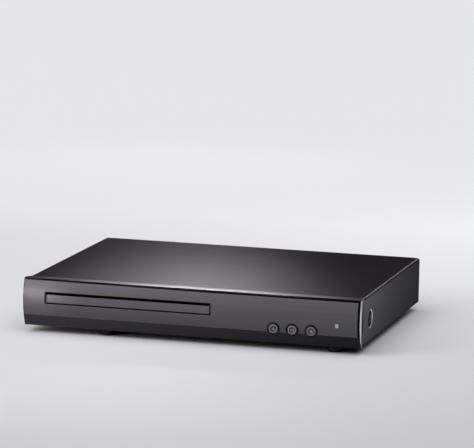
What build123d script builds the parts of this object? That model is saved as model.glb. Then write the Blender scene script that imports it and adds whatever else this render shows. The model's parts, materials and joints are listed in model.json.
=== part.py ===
"""A slim front-loading disc player, built as separate pieces in millimetres.

X runs to the viewer's right, the front faces -Y and Z points up. The origin lies on the floor under the
middle of the overall box. The tray is drawn shut and the turntable raised.
"""

import math
import os

from build123d import *

# Case
foot_drop = 5.5  # floor to the front panel's lower edge
slot_above = 10.2  # tray slot to the front panel's top
loader_room = 10.4  # case's left end to the loader's ears
board_room = 5.0  # power board to the case's right end
board_gap = 2.45  # between the loader's ears and the two boards
rear_room = 33.5  # loader to the cover's rear lip
jack_reach = 9.0  # coaxial jacks beyond the rear lip
steel = 0.8  # cover and rear panel
pan_steel = 1.0
cover_inset = 0.6  # cover side inside the front panel's end face
cover_drop = 0.4  # cover top below the front panel's ledge
cover_bend = 2.5
cover_lip = 9.0
skirt_lift = 1.0  # cover's lower edge above the front panel's lower edge
fit_gap = 0.3
seat_gap = 0.15
running_gap = 0.05
cut_past = 1.0  # cutters run past the faces that they open

# Front panel
crown_radius = 46.0
crown_height = 21.4  # most forward line above the lower edge
front_wall = 3.6
shell_wall = 2.0
ledge_depth = 13.0
tongue_length = 5.0
bottom_depth = 9.0
undercut_height = 12.0
end_strip = 6.5
end_step = 1.6
edge_round = 0.6
ledge_lip = 0.5
end_lip = 0.7
fascia_thickness = 1.6
fascia_proud = 0.2
fascia_low = 9.0  # above the panel's lower edge
fascia_top_gap = 0.4
fascia_end_gap = 0.3

# Tray slot and tray front
slot_room = 3.0  # tray's side to the slot's end
slot_round = 1.2
slot_chamfer = 0.4
bar_round = 0.8
bar_side_gap = 1.1
bar_low_gap = 0.7
bar_top_gap = 1.2
bar_height = 6.9
bar_recess = 0.6
bar_depth = 4.5

# Buttons and sensor window
button_inset = 38.3  # case's right end to the last button
button_pitch = 14.9
button_height = 11.6
button_radius = 3.5
button_gap = 0.2
button_recess_radius = 4.65
button_recess_depth = 2.8
button_proud = 1.0
button_dish = 0.5
button_guide_end = 7.0
button_guide_wall = 1.4
button_flange = 4.6
button_flange_depth = 1.2
button_stem = 1.8
button_travel = 0.5
window_inset = 18.2  # from the case's right end
window_height = 17.2
window_width = 2.5
window_tall = 3.0

# Feet and bottom pan
left_foot_inset = 64.0  # from the case's end
right_foot_inset = 23.0
foot_setback = 16.0
foot_radius = 5.6
foot_taper = 0.6
foot_round = 0.8
peg_radius = 2.0
pan_lift = 0.3  # pan floor above the front panel's lower edge
pad_drop = 1.7
pad_slope = 5.0
pad_corner = 8.0
pad_depth = 30.0
pad_left = 43.5  # front pad to the left of its foot
pad_right = 13.5
middle_pad = 60.0
rear_pad_width = 34.0
side_flange = 10.0
front_flange = 7.0
stand_height = 4.2
stand_radius = 3.2
screw_radius = 1.25
screw_head = 2.8
screw_head_height = 1.9
screw_length = 4.6
peg_proud = 0.5
hole_gap = 0.15

# Cover dimples
dimple_setback = 37.0
dimple_height = 17.7
dimple_radius = 7.4
dimple_seat = 4.6
dimple_depth = 1.8
dimple_wall = 0.6
cover_screw_head = 3.6

# Rear panel
rear_flange = 8.0
vent_count = 9
vent_pitch = 6.0
vent_width = 2.0
vent_tall = 14.0
vent_height = 12.0  # lower end above the pan
vent_offset = 10.0  # first vent left of the tray's middle
lip_screw_inset = 25.0  # from the case's end

# Disc tray
disc_radius = 60.0
disc_recess_gap = 1.0
disc_lead = 6.5  # tray front to the disc's edge
disc_hold = 1.0  # disc's rear edge inside the crown when the tray is out
tray_rim = 3.0  # disc recess to the tray's side
tray_spare = 13.0  # rack past the pinion when the tray is out
belt_room = 1.2  # pulley to the tray's lower edge
tray_thickness = 6.4
tray_low_gap = 0.6
tray_floor = 1.4
disc_recess = 3.0
small_disc_radius = 40.5
small_disc_recess = 0.5
tray_window = 23.0
tray_skirt = 2.5
finger_notch = 15.0

# Loader frame and clamp
rail_gap = 0.4
loader_wall = 2.2
loader_setback = 11.5
loader_past = 12.0  # beyond the tray's rear
loader_deck = 2.0
shelf_width = 4.0
shelf_thickness = 2.0
tab_length = 10.0
ear_length = 8.0
ear_width = 10.0
front_ear = 48.0  # behind the crown
rear_ear = 11.5  # before the loader's rear
bridge_gap = 1.7
bridge_thickness = 1.6
bridge_width = 44.0
bridge_apron = 7.0
clamper_radius = 15.0
clamper_neck = 12.5
clamper_hole = 14.0
clamper_gap = 0.4
yoke_radius = 18.0
yoke_thickness = 1.6
hub_recess = 8.2

# Tray drive
tooth_angle = math.radians(20.0)
tooth_addendum = 0.8  # in modules
tooth_dedendum = 1.15
tooth_slack = 0.14  # in modules, taken off each tooth's thickness
rack_module = 0.8
rack_inset = 9.5  # tray edge to the pitch line
rack_back = 2.4
rack_pinion_teeth = 14
train_module = 0.6
wheel_teeth = 40
wheel_thickness = 2.5
wheel_height = 7.5  # above the loader's base
pulley_pinion_teeth = 12
gear_setback = 21.5
gear_post = 1.45
sled_post = 1.05
gear_hub = 3.2
pulley_hub = 2.8
gear_neck = 4.0
pulley_radius = 10.0
pulley_flange = 0.8
pulley_thickness = 2.1
belt_thickness = 1.1
motor_offset = 28.0  # right of the tray's middle
motor_radius = 9.4
motor_ring = 1.2
motor_height = 11.5
motor_clear = 1.2
motor_bush = 3.0
shaft_depth = 5.0
shaft_spare = 1.0  # bore past the shaft's end
motor_pulley_radius = 2.5
shaft_radius = 1.0

# Cam slider
cam_travel = 24.0
cam_drop = 7.5
cam_thickness = 2.0
cam_gap = 0.45  # motor ring to the cam's wall
cam_clear = 4.2  # cam to the traverse
cam_left = 40.0
cam_right = 34.0
cam_wall = 1.8
cam_wall_gap = 2.9  # wheel's pitch line to the cam's wall
cam_hook_left = 9.5
cam_hook_right = 30.0
cam_hook_depth = 4.0
pin_radius = 1.5
pin_slack = 0.25
pin_offsets = (-10.0, 26.0)

# Traverse
seat_height = 10.6  # turntable seat above the traverse plate's underside
disc_lift = 1.3
traverse_plate = 2.0
traverse_left = 34.0
traverse_right = 46.0
traverse_front = 30.0
traverse_bar = 9.5  # behind the window
traverse_rib = 2.5
hinge_arm = 4.0  # traverse's rear edge to the hinge
trunnion_radius = 2.0
trunnion_length = 4.5
trunnion_wall = 1.0
hinge_block = 5.0
hinge_rear = 21.4  # hinge to the loader's rear, at least
window_half = 26.5
window_front = 14.9
window_spare = 0.5  # past the sled at the end of its way
rod_offset = 23.0
rod_radius = 1.5
rod_seat = 1.5
spindle_radius = 12.0
spindle_flange = 14.4
spindle_height = 7.1
spindle_plate = 0.8
spindle_neck = 10.0
spindle_neck_height = 3.0
turntable_radius = 15.0
turntable_thickness = 2.0
hub_radius = 7.4
hub_height = 2.4
hub_top = 5.0
hub_step = 1.0

# Pickup sled
lens_start = 25.0
sled_travel = 33.0
carriage_half = 19.0
carriage_front = 9.8
carriage_rear = 12.0
carriage_low = 4.0  # below the traverse plate's underside
carriage_high = 4.5  # above it
lug_thickness = 6.0
lug_wall = 1.5
lug_low = 2.0
fork_wall = 1.0
lens_unit_half = 11.0
lens_unit_tall = 3.0
lens_radius = 2.6
lens_proud = 1.0
lens_edge = 1.0
sled_module = 0.5
sled_rack_x = 31.0
sled_rack_spare = 9.0
sled_rack_past = 3.0  # behind its gear at the start
sled_rack_tall = 2.0
sled_rack_back = 2.0
sled_gear_teeth = 14
sled_wheel_teeth = 36
sled_wheel_thickness = 1.4
sled_pinion_teeth = 12
sled_gear_reach = 45.0
sled_motor_radius = 7.0
sled_motor_height = 6.0
sled_shaft_depth = 2.0

# Boards
board_thickness = 1.6
board_edge = 0.6
main_setback = 107.8  # behind the crown
power_setback = 57.8
power_width = 32.5
stand_edge = 1.0  # stand to the board's side
main_rear_stand = 27.0  # stand to the main board's rear edge
power_rear_stand = 38.0
front_board_margin = 2.0  # ribbon plug to the board's left edge
front_board_inset = 6.0  # board to the case's right end
front_board_setback = 15.5
front_board_low = 4.0
front_board_tall = 26.0
post_radius = 2.4
post_edge = 1.0
switch_size = 6.0
switch_depth = 3.2
switch_plunger = 1.6
lamp_radius = 1.5

# Sockets
socket_edge = 1.4  # first socket to the main board's left edge
socket_gap = 1.4
jack_count = 4
jack_pitch = 12.5
jack_height = 6.5
jack_shell = 4.15
jack_shell_wall = 0.75
jack_collar = 5.0
jack_collar_depth = 1.5
jack_bore = 1.65
jack_bore_depth = 7.0
jack_body = 12.0
hdmi_width = 15.2
hdmi_tall = 5.8
hdmi_depth = 11.5
hdmi_wall = 0.4
hdmi_chamfer = 1.6
tongue_width = 11.0
tongue_tall = 1.1
tongue_reach = 7.0
inlet_width = 21.0
inlet_tall = 12.0
inlet_depth = 17.0
inlet_slot_width = 16.4
inlet_slot_tall = 8.2
inlet_slot_depth = 13.0
inlet_waist = 0.6  # lobe to the flat between the lobes
inlet_pin_radius = 1.2
inlet_pin_pitch = 8.6
inlet_pin_length = 10.0
inlet_pin_root = 2.0

# Parts on the main board, placed from its front left corner
decoder_x = 24.0
decoder_y = 34.0
decoder_size = 20.0
decoder_tall = 1.6
memory_x = 47.5
memory_y = 38.0
memory_width = 10.2
memory_depth = 18.4
memory_tall = 1.2
flash_x = 12.0
flash_y = 30.0
flash_width = 5.2
flash_depth = 6.2
driver_y = 42.0
driver_width = 7.6
driver_depth = 15.8
driver_tall = 2.2
small_can_x = 10.0
small_can_y = 12.0
small_can_pitch = 7.5
small_can_count = 5
small_can_radius = 3.15
small_can_tall = 7.5

# Parts on the power board, placed from its front left corner
tall_can_x = 8.5
tall_can_y = 26.0
tall_can_pitch = 12.0
tall_can_count = 3
tall_can_radius = 4.0
tall_can_tall = 13.0
reservoir_offset = 4.0  # right of the board's middle
reservoir_y = 100.0
reservoir_radius = 8.0
reservoir_tall = 22.0
core_y = 72.0
core_width = 24.0
core_depth = 12.0
core_tall = 18.0
core_leg = 6.4  # middle leg's width
core_side = 3.2  # outer legs and yokes
coil_gap = 0.2
coil_depth = 21.0
coil_round = 2.5
sink_y = 22.0
sink_inset = 6.0  # from the board's right edge
sink_length = 26.0
sink_tall = 20.0
sink_plate = 2.0
fin_count = 4
fin_pitch = 5.0
fin_low = 3.0
fin_reach = 6.0
fin_thickness = 1.2

# Plugs, ribbons and wires
plug_depth = 5.0
plug_tall = 5.0
plug_edge = 1.0  # plug beyond its ribbon, and to the board's edge
front_plug_height = 14.0  # above the front board's lower edge
ribbon_place = 40.0  # right of the main board's left edge
ribbon_thickness = 0.5
ribbon_width = 12.0
ribbon_bend = 1.5
ribbon_loop = 8.0  # behind the front board's plug
ribbon_rise = 6.0  # before the main board
pickup_seat = 30.0  # ribbon's start right of the tray's middle
pickup_gap = 0.4
wire_count = 4
wire_pitch = 2.5
wire_radius = 0.7
wire_bend = 1.0
wire_plug_height = 6.0
wire_plug_length = 12.0
wire_height = 3.0  # above the boards
power_plug_y = 8.0
main_plug_y = 24.0

# Sizes across, worked out from what stands side by side
tray_half = disc_radius + disc_recess_gap + tray_rim
tray_width = 2 * tray_half
slot_width = tray_width + 2 * slot_room
wall_in = tray_half + rail_gap
wall_out = wall_in + loader_wall
loader_half = wall_out + ear_length
main_width = socket_edge + hdmi_width + socket_gap + jack_count * jack_pitch
boards_width = board_gap + main_width + board_gap + power_width
case_width = loader_room + 2 * loader_half + boards_width + board_room
half_width = case_width / 2

# Sizes along, worked out from the tray's drive and way
motor_seat = motor_radius + seat_gap
cam_setback = gear_setback + motor_seat + motor_ring + cam_gap + cam_wall + fit_gap
drive_depth = cam_setback + cam_thickness + cam_clear + traverse_front
disc_setback = max(drive_depth, bar_depth + disc_lead + disc_radius)
tray_travel = disc_setback + disc_radius - disc_hold
tray_length = gear_setback - bar_depth + tray_travel + tray_spare
window_rear = lens_start + carriage_rear + sled_travel + window_spare
traverse_rear = window_rear + traverse_bar
traverse_depth = disc_setback + traverse_rear + hinge_arm + hinge_rear
loader_depth = max(bar_depth + tray_length + loader_past, traverse_depth)
case_depth = loader_depth + rear_room  # front crown to the cover's rear lip
sled_rack_length = sled_travel + sled_rack_spare

# Heights
low_z = foot_drop
pan_z = low_z + pan_lift
pan_top_z = pan_z + pan_steel
base_z = pan_top_z + stand_height
deck_z = base_z + loader_deck
board_top_z = base_z + board_thickness
wheel_z = base_z + wheel_height
pulley_z = wheel_z + wheel_thickness + fit_gap
belt_z = pulley_z + (pulley_thickness - belt_thickness) / 2
tray_low_z = pulley_z + pulley_thickness + belt_room
slot_z = tray_low_z - tray_low_gap
slot_height = bar_low_gap + bar_height + bar_top_gap
top_z = slot_z + slot_height + slot_above
cover_top_z = top_z - cover_drop
tongue_z = cover_top_z - steel - seat_gap
tray_rim_z = tray_low_z + tray_thickness
disc_floor_z = tray_rim_z - disc_recess
tray_under_z = disc_floor_z - tray_floor
seat_z = disc_floor_z + disc_lift
bridge_z = tray_rim_z + bridge_gap
plate_z = seat_z - seat_height
plate_top_z = plate_z + traverse_plate
hinge_z = plate_z + traverse_plate / 2
cam_low_z = hinge_z - cam_drop - pin_radius - pin_slack - cam_wall
sled_wheel_z = plate_top_z + fit_gap + sled_rack_tall + fit_gap
foot_height = pan_z - pad_drop
button_z = low_z + button_height
window_z = low_z + window_height
dimple_z = low_z + dimple_height
jack_z = board_top_z + jack_height
inlet_z = board_top_z + inlet_tall / 2
lip_screw_z = cover_top_z - cover_lip / 2

# Places along
front_y = fascia_proud - (case_depth + jack_reach + fascia_proud) / 2
rear_y = front_y + case_depth
cover_front_y = front_y + ledge_depth
panel_back_y = cover_front_y + tongue_length
pan_front_y = front_y + bottom_depth + fit_gap
rear_out_y = rear_y - steel
rear_in_y = rear_out_y - steel
dimple_y = front_y + dimple_setback
foot_ys = (front_y + foot_setback, rear_y - foot_setback)
tray_front_y = front_y + bar_depth
tray_rear_y = tray_front_y + tray_length
disc_y = front_y + disc_setback
loader_front_y = front_y + loader_setback
loader_rear_y = front_y + loader_depth
ear_ys = (front_y + front_ear, loader_rear_y - rear_ear)
gear_y = front_y + gear_setback
cam_y = front_y + cam_setback
hinge_y = disc_y + traverse_rear + hinge_arm
lens_y = disc_y + lens_start
sled_gear_y = disc_y + sled_gear_reach
sled_pinion_y = sled_gear_y - sled_module * (sled_wheel_teeth + sled_pinion_teeth) / 2
board_rear_y = rear_in_y - board_edge
main_front_y = front_y + main_setback
power_front_y = front_y + power_setback
front_board_y = front_y + front_board_setback
front_board_back_y = front_board_y + board_thickness
switch_y = front_board_y - switch_depth
pickup_ribbon_y = hinge_y - hinge_block + ribbon_width / 2 - plug_edge

# Places across
cover_half = half_width - cover_inset
pan_half = cover_half - steel - dimple_depth
tray_centre_x = loader_room + loader_half - half_width
ear_xs = (tray_centre_x - wall_out - ear_length / 2, tray_centre_x + wall_out + ear_length / 2)
button_xs = [half_width - button_inset - button_pitch * i for i in (2, 1, 0)]
window_x = half_width - window_inset
foot_xs = (left_foot_inset - half_width, half_width - right_foot_inset)
lip_screw_xs = (lip_screw_inset - half_width, 0, half_width - lip_screw_inset)
vent_x = tray_centre_x - vent_offset
rack_x = tray_centre_x - tray_half + rack_inset
gear_x = rack_x + rack_module * rack_pinion_teeth / 2
pulley_x = gear_x + train_module * (wheel_teeth + pulley_pinion_teeth) / 2
motor_x = tray_centre_x + motor_offset
sled_gear_x = tray_centre_x + sled_rack_x + sled_module * sled_gear_teeth / 2
main_left = tray_centre_x + loader_half + board_gap
main_right = main_left + main_width
power_left = main_right + board_gap
power_right = power_left + power_width
power_x = (power_left + power_right) / 2
hdmi_x = main_left + socket_edge + hdmi_width / 2
jack_first = hdmi_x + hdmi_width / 2 + socket_gap + jack_pitch / 2
jack_xs = [jack_first + i * jack_pitch for i in range(jack_count)]
inlet_x = power_x
ribbon_x = main_left + ribbon_place
plug_half = ribbon_width / 2 + plug_edge
front_board_left = ribbon_x - plug_half - front_board_margin
front_board_right = half_width - front_board_inset


def block(x0, x1, y0, y1, z0, z1):
    """A box between two corners."""
    middle = Pos((x0 + x1) / 2, (y0 + y1) / 2, (z0 + z1) / 2)
    return middle * Box(x1 - x0, y1 - y0, z1 - z0)


def rod_x(radius, y, z, x0, x1):
    """A round bar along X."""
    return Pos((x0 + x1) / 2, y, z) * Rot(0, 90, 0) * Cylinder(radius, x1 - x0)


def rod_y(radius, x, z, y0, y1):
    """A round bar along Y."""
    return Pos(x, (y0 + y1) / 2, z) * Rot(90, 0, 0) * Cylinder(radius, y1 - y0)


def rod_z(radius, x, y, z0, z1):
    """A round bar along Z."""
    return Pos(x, y, (z0 + z1) / 2) * Cylinder(radius, z1 - z0)


def screw_hole_y(x, z, y0, y1):
    """A screw's hole along Y, as a cutter."""
    return rod_y(screw_radius + hole_gap, x, z, y0, y1)


def screw_hole_z(x, y, z0, z1):
    """A screw's hole along Z, as a cutter."""
    return rod_z(screw_radius + hole_gap, x, y, z0, z1)


def crown(inset):
    """The round that gives the front its crowned section, set in by a distance."""
    reach = case_width
    return rod_x(crown_radius - inset, front_y + crown_radius, low_z + crown_height, -reach, reach)


def crown_y(z):
    """Where the crowned front lies at a height."""
    rise = z - low_z - crown_height
    return front_y + crown_radius - math.sqrt(crown_radius**2 - rise**2)


def slot_opening(depth):
    """The tray slot as a cutter."""
    half = slot_width / 2
    left = tray_centre_x - half
    right = tray_centre_x + half
    hole = block(left, right, front_y - cut_past, front_y + depth, slot_z, slot_z + slot_height)
    return fillet(hole.edges().filter_by(Axis.Y), slot_round)


def window_opening(gap):
    """The sensor window's hole as a cutter, or its body with a negative gap."""
    across = window_width / 2 + gap
    up = window_tall / 2 + gap
    left = window_x - across
    right = window_x + across
    return block(left, right, front_y - cut_past, switch_y, window_z - up, window_z + up)


def front_panel():
    """The moulded front: crowned skin, hollow back, ledge, end strips and button guides."""
    solid = crown(0) & block(-half_width, half_width, front_y - cut_past, panel_back_y, low_z, top_z)
    crowned = solid.faces().sort_by(Axis.Y)[0]
    solid = fillet(crowned.edges(), edge_round)
    inside = half_width - end_step - shell_wall
    hollow_top = tongue_z - shell_wall
    past_y = panel_back_y + cut_past
    under_z = low_z - cut_past
    over_z = top_z + cut_past
    hollow = block(-inside, inside, front_y, past_y, low_z + shell_wall, hollow_top)
    body = solid - (crown(front_wall) & hollow)
    behind = block(-half_width, half_width, cover_front_y, past_y, under_z, over_z)
    body -= behind - cover_cavity(seat_gap)
    back = block(-half_width, half_width, front_y, past_y, under_z, over_z)
    keep = half_width - end_step
    ends = back - block(-keep, keep, front_y, past_y, under_z, over_z)
    body -= crown(end_strip) & ends
    undercut_z = low_z + undercut_height
    body -= block(-half_width, half_width, front_y + bottom_depth, past_y, under_z, undercut_z)
    across = half_width - end_lip
    recess = block(-across, across, front_y - cut_past, cover_front_y, low_z + fascia_low, top_z - ledge_lip)
    body -= recess - crown(fascia_thickness)
    body -= slot_opening(ledge_depth)
    for x in button_xs:
        guide = button_radius + button_gap + button_guide_wall
        floor_y = crown_y(button_z) + button_recess_depth
        body += rod_y(guide, x, button_z, front_y + front_wall, front_y + button_guide_end)
        body -= rod_y(button_recess_radius, x, button_z, front_y - cut_past, floor_y)
        guide_back = front_y + button_guide_end + cut_past
        body -= rod_y(button_radius + button_gap, x, button_z, front_y, guide_back)
    for x, z in front_posts():
        body += rod_y(post_radius, x, z, front_y + front_wall, front_board_y)
        body -= screw_hole_y(x, z, front_board_y - screw_length, front_board_y + cut_past)
    return body - window_opening(seat_gap)


def front_posts():
    """Where the front board is screwed to the front panel."""
    inset = post_radius + post_edge
    high = low_z + front_board_low + front_board_tall - inset
    return [(front_board_left + inset, high), (front_board_right - inset, high)]


def front_fascia():
    """The grey plate that follows the crown, with the tray slot and the button holes."""
    across = half_width - end_lip - fascia_end_gap
    high = top_z - ledge_lip - fascia_top_gap
    area = block(-across, across, front_y - cut_past, cover_front_y, low_z + fascia_low, high)
    plate = (crown(-fascia_proud) - crown(fascia_thickness)) & area
    plate -= slot_opening(ledge_depth)
    plate = chamfer([edge for edge in plate.edges() if is_slot_rim(edge)], slot_chamfer)
    for x in button_xs:
        plate -= rod_y(button_recess_radius, x, button_z, front_y - cut_past, cover_front_y)
    return plate - window_opening(seat_gap)


def is_slot_rim(edge):
    """Whether an edge of the fascia bounds the slot on its front."""
    middle = edge.center()
    in_height = slot_z - seat_gap < middle.Z < slot_z + slot_height + seat_gap
    in_width = abs(middle.X - tray_centre_x) < slot_width / 2 + seat_gap
    along_front = abs((edge @ 1 - edge @ 0).Y) < fascia_thickness / 2
    return in_height and in_width and along_front and middle.Y < crown_y(middle.Z) + fascia_thickness / 2


def sensor_window():
    """The small clear window before the infrared receiver."""
    bar = window_opening(0) & crown(-fascia_proud)
    near = front_y - cut_past
    return bar & block(-half_width, half_width, near, front_y + button_guide_end, low_z, top_z)


def button(x):
    """A dished cap with a retaining flange and a stem, turned about the pressing axis."""
    face = crown_y(button_z) - button_proud
    flange = front_y + button_guide_end + seat_gap
    tip = switch_y - switch_plunger - button_travel - running_gap
    cap = rod_y(button_radius, x, button_z, face, flange)
    cap = fillet(cap.edges().sort_by(Axis.Y)[0], edge_round)
    cap += rod_y(button_flange, x, button_z, flange, flange + button_flange_depth)
    cap += rod_y(button_stem, x, button_z, flange, tip)
    rim = button_radius - 2 * edge_round
    bowl = (rim**2 + button_dish**2) / (2 * button_dish)
    return cap - Pos(x, face + button_dish - bowl, button_z) * Sphere(bowl)


def tray_front():
    """The bar that closes the slot, crowned like the fascia."""
    half = slot_width / 2 - bar_side_gap
    low = slot_z + bar_low_gap
    left = tray_centre_x - half
    right = tray_centre_x + half
    bar = block(left, right, front_y - cut_past, tray_front_y, low, low + bar_height)
    bar = crown(bar_recess) & fillet(bar.edges().filter_by(Axis.Y), bar_round)
    return chamfer(bar.faces().sort_by(Axis.Y)[0].edges(), slot_chamfer)


def top_cover():
    """The folded steel cover with a rear lip and a pressed screw dimple on each side."""
    skirt = low_z + skirt_lift
    outer = block(-cover_half, cover_half, cover_front_y, rear_y, skirt, cover_top_z)
    outer = fillet(outer.edges().filter_by(Axis.Y).group_by(Axis.Z)[-1], cover_bend)
    wide = cover_half - steel
    sheet = outer - cover_cavity(0)
    near = rear_out_y - cut_past
    far = rear_y + cut_past
    sheet -= block(-wide, wide, near, far, skirt - cut_past, cover_top_z - cover_lip)
    for side in (-1, 1):
        turn = Rot(0, 90 * side, 0)
        depth = Pos(side * (cover_half - dimple_depth / 2), dimple_y, dimple_z)
        back = Pos(side * (wide - dimple_depth / 2), dimple_y, dimple_z)
        sheet += back * turn * Cone(dimple_seat + dimple_wall, dimple_radius + dimple_wall, dimple_depth)
        sheet -= depth * turn * Cone(dimple_seat, dimple_radius, dimple_depth)
        sheet -= dimple_hole(side)
    for x in lip_screw_xs:
        sheet -= screw_hole_y(x, lip_screw_z, near, far)
    return sheet


def dimple_hole(side):
    """The hole for a side screw through the cover and the pan's tab, as a cutter."""
    ends = sorted((side * (pan_half - screw_length), side * half_width))
    return rod_x(screw_radius + hole_gap, dimple_y, dimple_z, *ends)


def cover_cavity(gap):
    """The space inside the cover, set in by a gap."""
    wide = cover_half - steel - gap
    high = cover_top_z - steel - gap
    inner = block(-wide, wide, cover_front_y - cut_past, rear_out_y, low_z - cut_past, high)
    return fillet(inner.edges().filter_by(Axis.Y).group_by(Axis.Z)[-1], cover_bend - steel)


def pocket(x0, x1, y0, y1, z):
    """The sloped space of a pressed pad, below a height."""
    middle = Pos((x0 + x1) / 2, (y0 + y1) / 2, z)
    wide = x1 - x0
    deep = y1 - y0
    upper = middle * RectangleRounded(wide, deep, pad_corner)
    shrink = 2 * pad_slope
    floor = RectangleRounded(wide - shrink, deep - shrink, pad_corner - pad_slope)
    lower = middle * Pos(0, 0, -pad_drop) * floor
    return loft([upper, lower], ruled=True)


def pad_areas():
    """The pressed pads of the pan: three at the front, one round each rear foot."""
    near = pan_front_y + pan_steel
    far = rear_in_y - fit_gap
    middle = (foot_xs[0] + pad_right + foot_xs[1] - pad_left) / 2
    areas = [(middle - middle_pad / 2, middle + middle_pad / 2, near, near + pad_depth)]
    for x in foot_xs:
        half = rear_pad_width / 2
        areas.append((x - pad_left, x + pad_right, near, near + pad_depth))
        areas.append((x - half, x + half, far - pad_depth, far))
    return areas


def stands():
    """Where the loader and the boards are screwed to the pan."""
    places = [(x, y) for x in ear_xs for y in ear_ys]
    return places + board_stands()


def board_stands():
    """The screw places of the main and power boards."""
    inset = stand_radius + stand_edge
    main = (main_left, main_right, main_front_y, main_rear_stand)
    power = (power_left, power_right, power_front_y, power_rear_stand)
    places = []
    for left, right, front, rear in (main, power):
        for x in (left + inset, right - inset):
            places.append((x, front + inset))
            places.append((x, board_rear_y - rear))
    return places


def bottom_chassis():
    """The steel pan with flanges, pressed pads, stands and two side tabs."""
    pan = block(-pan_half, pan_half, pan_front_y, rear_out_y, pan_z, pan_top_z)
    pan += block(-pan_half, pan_half, pan_front_y, pan_front_y + pan_steel, pan_z, pan_z + front_flange)
    for side in (-1, 1):
        near = side * pan_half
        wall = sorted((near, near - side * pan_steel))
        pan += block(*wall, pan_front_y, rear_in_y, pan_z, pan_z + side_flange)
        tab = dimple_radius
        pan += block(*wall, dimple_y - tab, dimple_y + tab, pan_z, dimple_z + tab)
        pan -= dimple_hole(side)
    for area in pad_areas():
        pan += pocket(*area, pan_z)
        pan -= pocket(*area, pan_top_z)
    for x, y in stands():
        pan += rod_z(stand_radius, x, y, pan_top_z, base_z)
        pan -= screw_hole_z(x, y, base_z - screw_length, base_z + cut_past)
    for x in foot_xs:
        for y in foot_ys:
            pan -= rod_z(peg_radius + hole_gap, x, y, 0, pan_top_z)
    return pan


def foot(x, y):
    """A moulded foot with a peg through the pan."""
    base = Pos(x, y, foot_height / 2) * Cone(foot_radius - foot_taper, foot_radius, foot_height)
    base = fillet(base.edges().group_by(Axis.Z)[0], foot_round)
    return base + rod_z(peg_radius, x, y, foot_height, foot_height + pan_steel + peg_proud)


def rear_panel():
    """The folded rear sheet with its cut-outs and vents."""
    high = cover_top_z - steel - fit_gap
    sheet = block(-pan_half, pan_half, rear_in_y, rear_out_y, pan_top_z, high)
    inside = pan_half - pan_steel - seat_gap
    sheet += block(-inside, inside, rear_in_y - rear_flange, rear_in_y, pan_top_z, pan_top_z + steel)
    near = rear_in_y - cut_past
    far = rear_y + cut_past
    for x in jack_xs:
        sheet -= rod_y(jack_shell + fit_gap, x, jack_z, near, far)
    wide = hdmi_width / 2 + fit_gap
    low = board_top_z - fit_gap
    sheet -= block(hdmi_x - wide, hdmi_x + wide, near, far, low, board_top_z + hdmi_tall + fit_gap)
    wide = inlet_width / 2 + fit_gap
    tall = inlet_tall / 2 + fit_gap
    sheet -= block(inlet_x - wide, inlet_x + wide, near, far, inlet_z - tall, inlet_z + tall)
    low = pan_top_z + vent_height
    for i in range(vent_count):
        x = vent_x + i * vent_pitch
        sheet -= block(x, x + vent_width, near, far, low, low + vent_tall)
    for x in lip_screw_xs:
        sheet -= screw_hole_y(x, lip_screw_z, near, far)
    return sheet


def involute(angle):
    """The involute of an angle."""
    return math.tan(angle) - angle


def gear(teeth, module, x, y, z0, z1, first):
    """A spur gear with involute flanks, one tooth pointing along the first angle."""
    pitch = module * teeth / 2
    base = pitch * math.cos(tooth_angle)
    tip = pitch + tooth_addendum * module
    root = pitch - tooth_dedendum * module
    half = math.pi / (2 * teeth) - tooth_slack * module / (2 * pitch)

    def flank(radius):
        lean = math.acos(min(1.0, base / radius))
        return half + involute(tooth_angle) - involute(lean)

    radii = [max(base, root + 0.05), pitch, tip]
    side = [(root, flank(radii[0]))] + [(radius, flank(radius)) for radius in radii]
    points = []
    for i in range(teeth):
        middle = first + 2 * math.pi * i / teeth
        rising = [(radius, middle - turn) for radius, turn in side]
        falling = [(radius, middle + turn) for radius, turn in reversed(side)]
        points += [(r * math.cos(a), r * math.sin(a)) for r, a in rising + falling]
    outline = make_face(Polyline(*points, close=True))
    return Pos(x, y, z0) * extrude(outline, z1 - z0)


def rack(module, x, y0, y1, z0, z1, back, space_y):
    """A straight rack with its teeth along +X and a space centred on one place."""
    pitch = math.pi * module
    tip = tooth_addendum * module
    root = tooth_dedendum * module
    half = pitch / 4 - tooth_slack * module / 2
    lean = math.tan(tooth_angle)
    strip = block(x - root - back, x - root, y0, y1, z0, z1)
    count = int((y1 - y0) / pitch)
    first = math.ceil((y0 + half + root * lean - space_y) / pitch - 0.5)
    tooth = [(-root, -half - root * lean), (tip, -half + tip * lean)]
    tooth += [(tip, half - tip * lean), (-root, half + root * lean)]
    for i in range(count):
        middle = space_y + (first + i + 0.5) * pitch
        if middle + half + root * lean > y1:
            break
        outline = make_face(Polyline(*[(x + dx, middle + dy) for dx, dy in tooth], close=True))
        strip += Pos(0, 0, z0) * extrude(outline, z1 - z0)
    return strip


def disc_tray():
    """The drawer: disc recesses, a window open to the rear, finger notches and side skirts."""
    left = tray_centre_x - tray_half
    right = tray_centre_x + tray_half
    tray = block(left, right, tray_front_y, tray_rear_y, tray_under_z, tray_rim_z)
    for edge in (left, right - tray_skirt):
        tray += block(edge, edge + tray_skirt, tray_front_y, tray_rear_y, tray_low_z, tray_under_z)
    over_z = tray_rim_z + cut_past
    tray -= rod_z(disc_radius + disc_recess_gap, tray_centre_x, disc_y, disc_floor_z, over_z)
    small = disc_floor_z - small_disc_recess
    tray -= rod_z(small_disc_radius, tray_centre_x, disc_y, small, over_z)
    tray -= rod_z(tray_window, tray_centre_x, disc_y, tray_low_z, over_z)
    window_left = tray_centre_x - tray_window
    window_right = tray_centre_x + tray_window
    tray -= block(window_left, window_right, disc_y, tray_rear_y + cut_past, tray_low_z, over_z)
    for side in (-1, 1):
        diagonal = (disc_radius + disc_recess_gap) / math.sqrt(2)
        notch = rod_z(finger_notch, tray_centre_x + side * diagonal, disc_y - diagonal, disc_floor_z, over_z)
        tray -= notch & notch_limit()
    return tray


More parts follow.
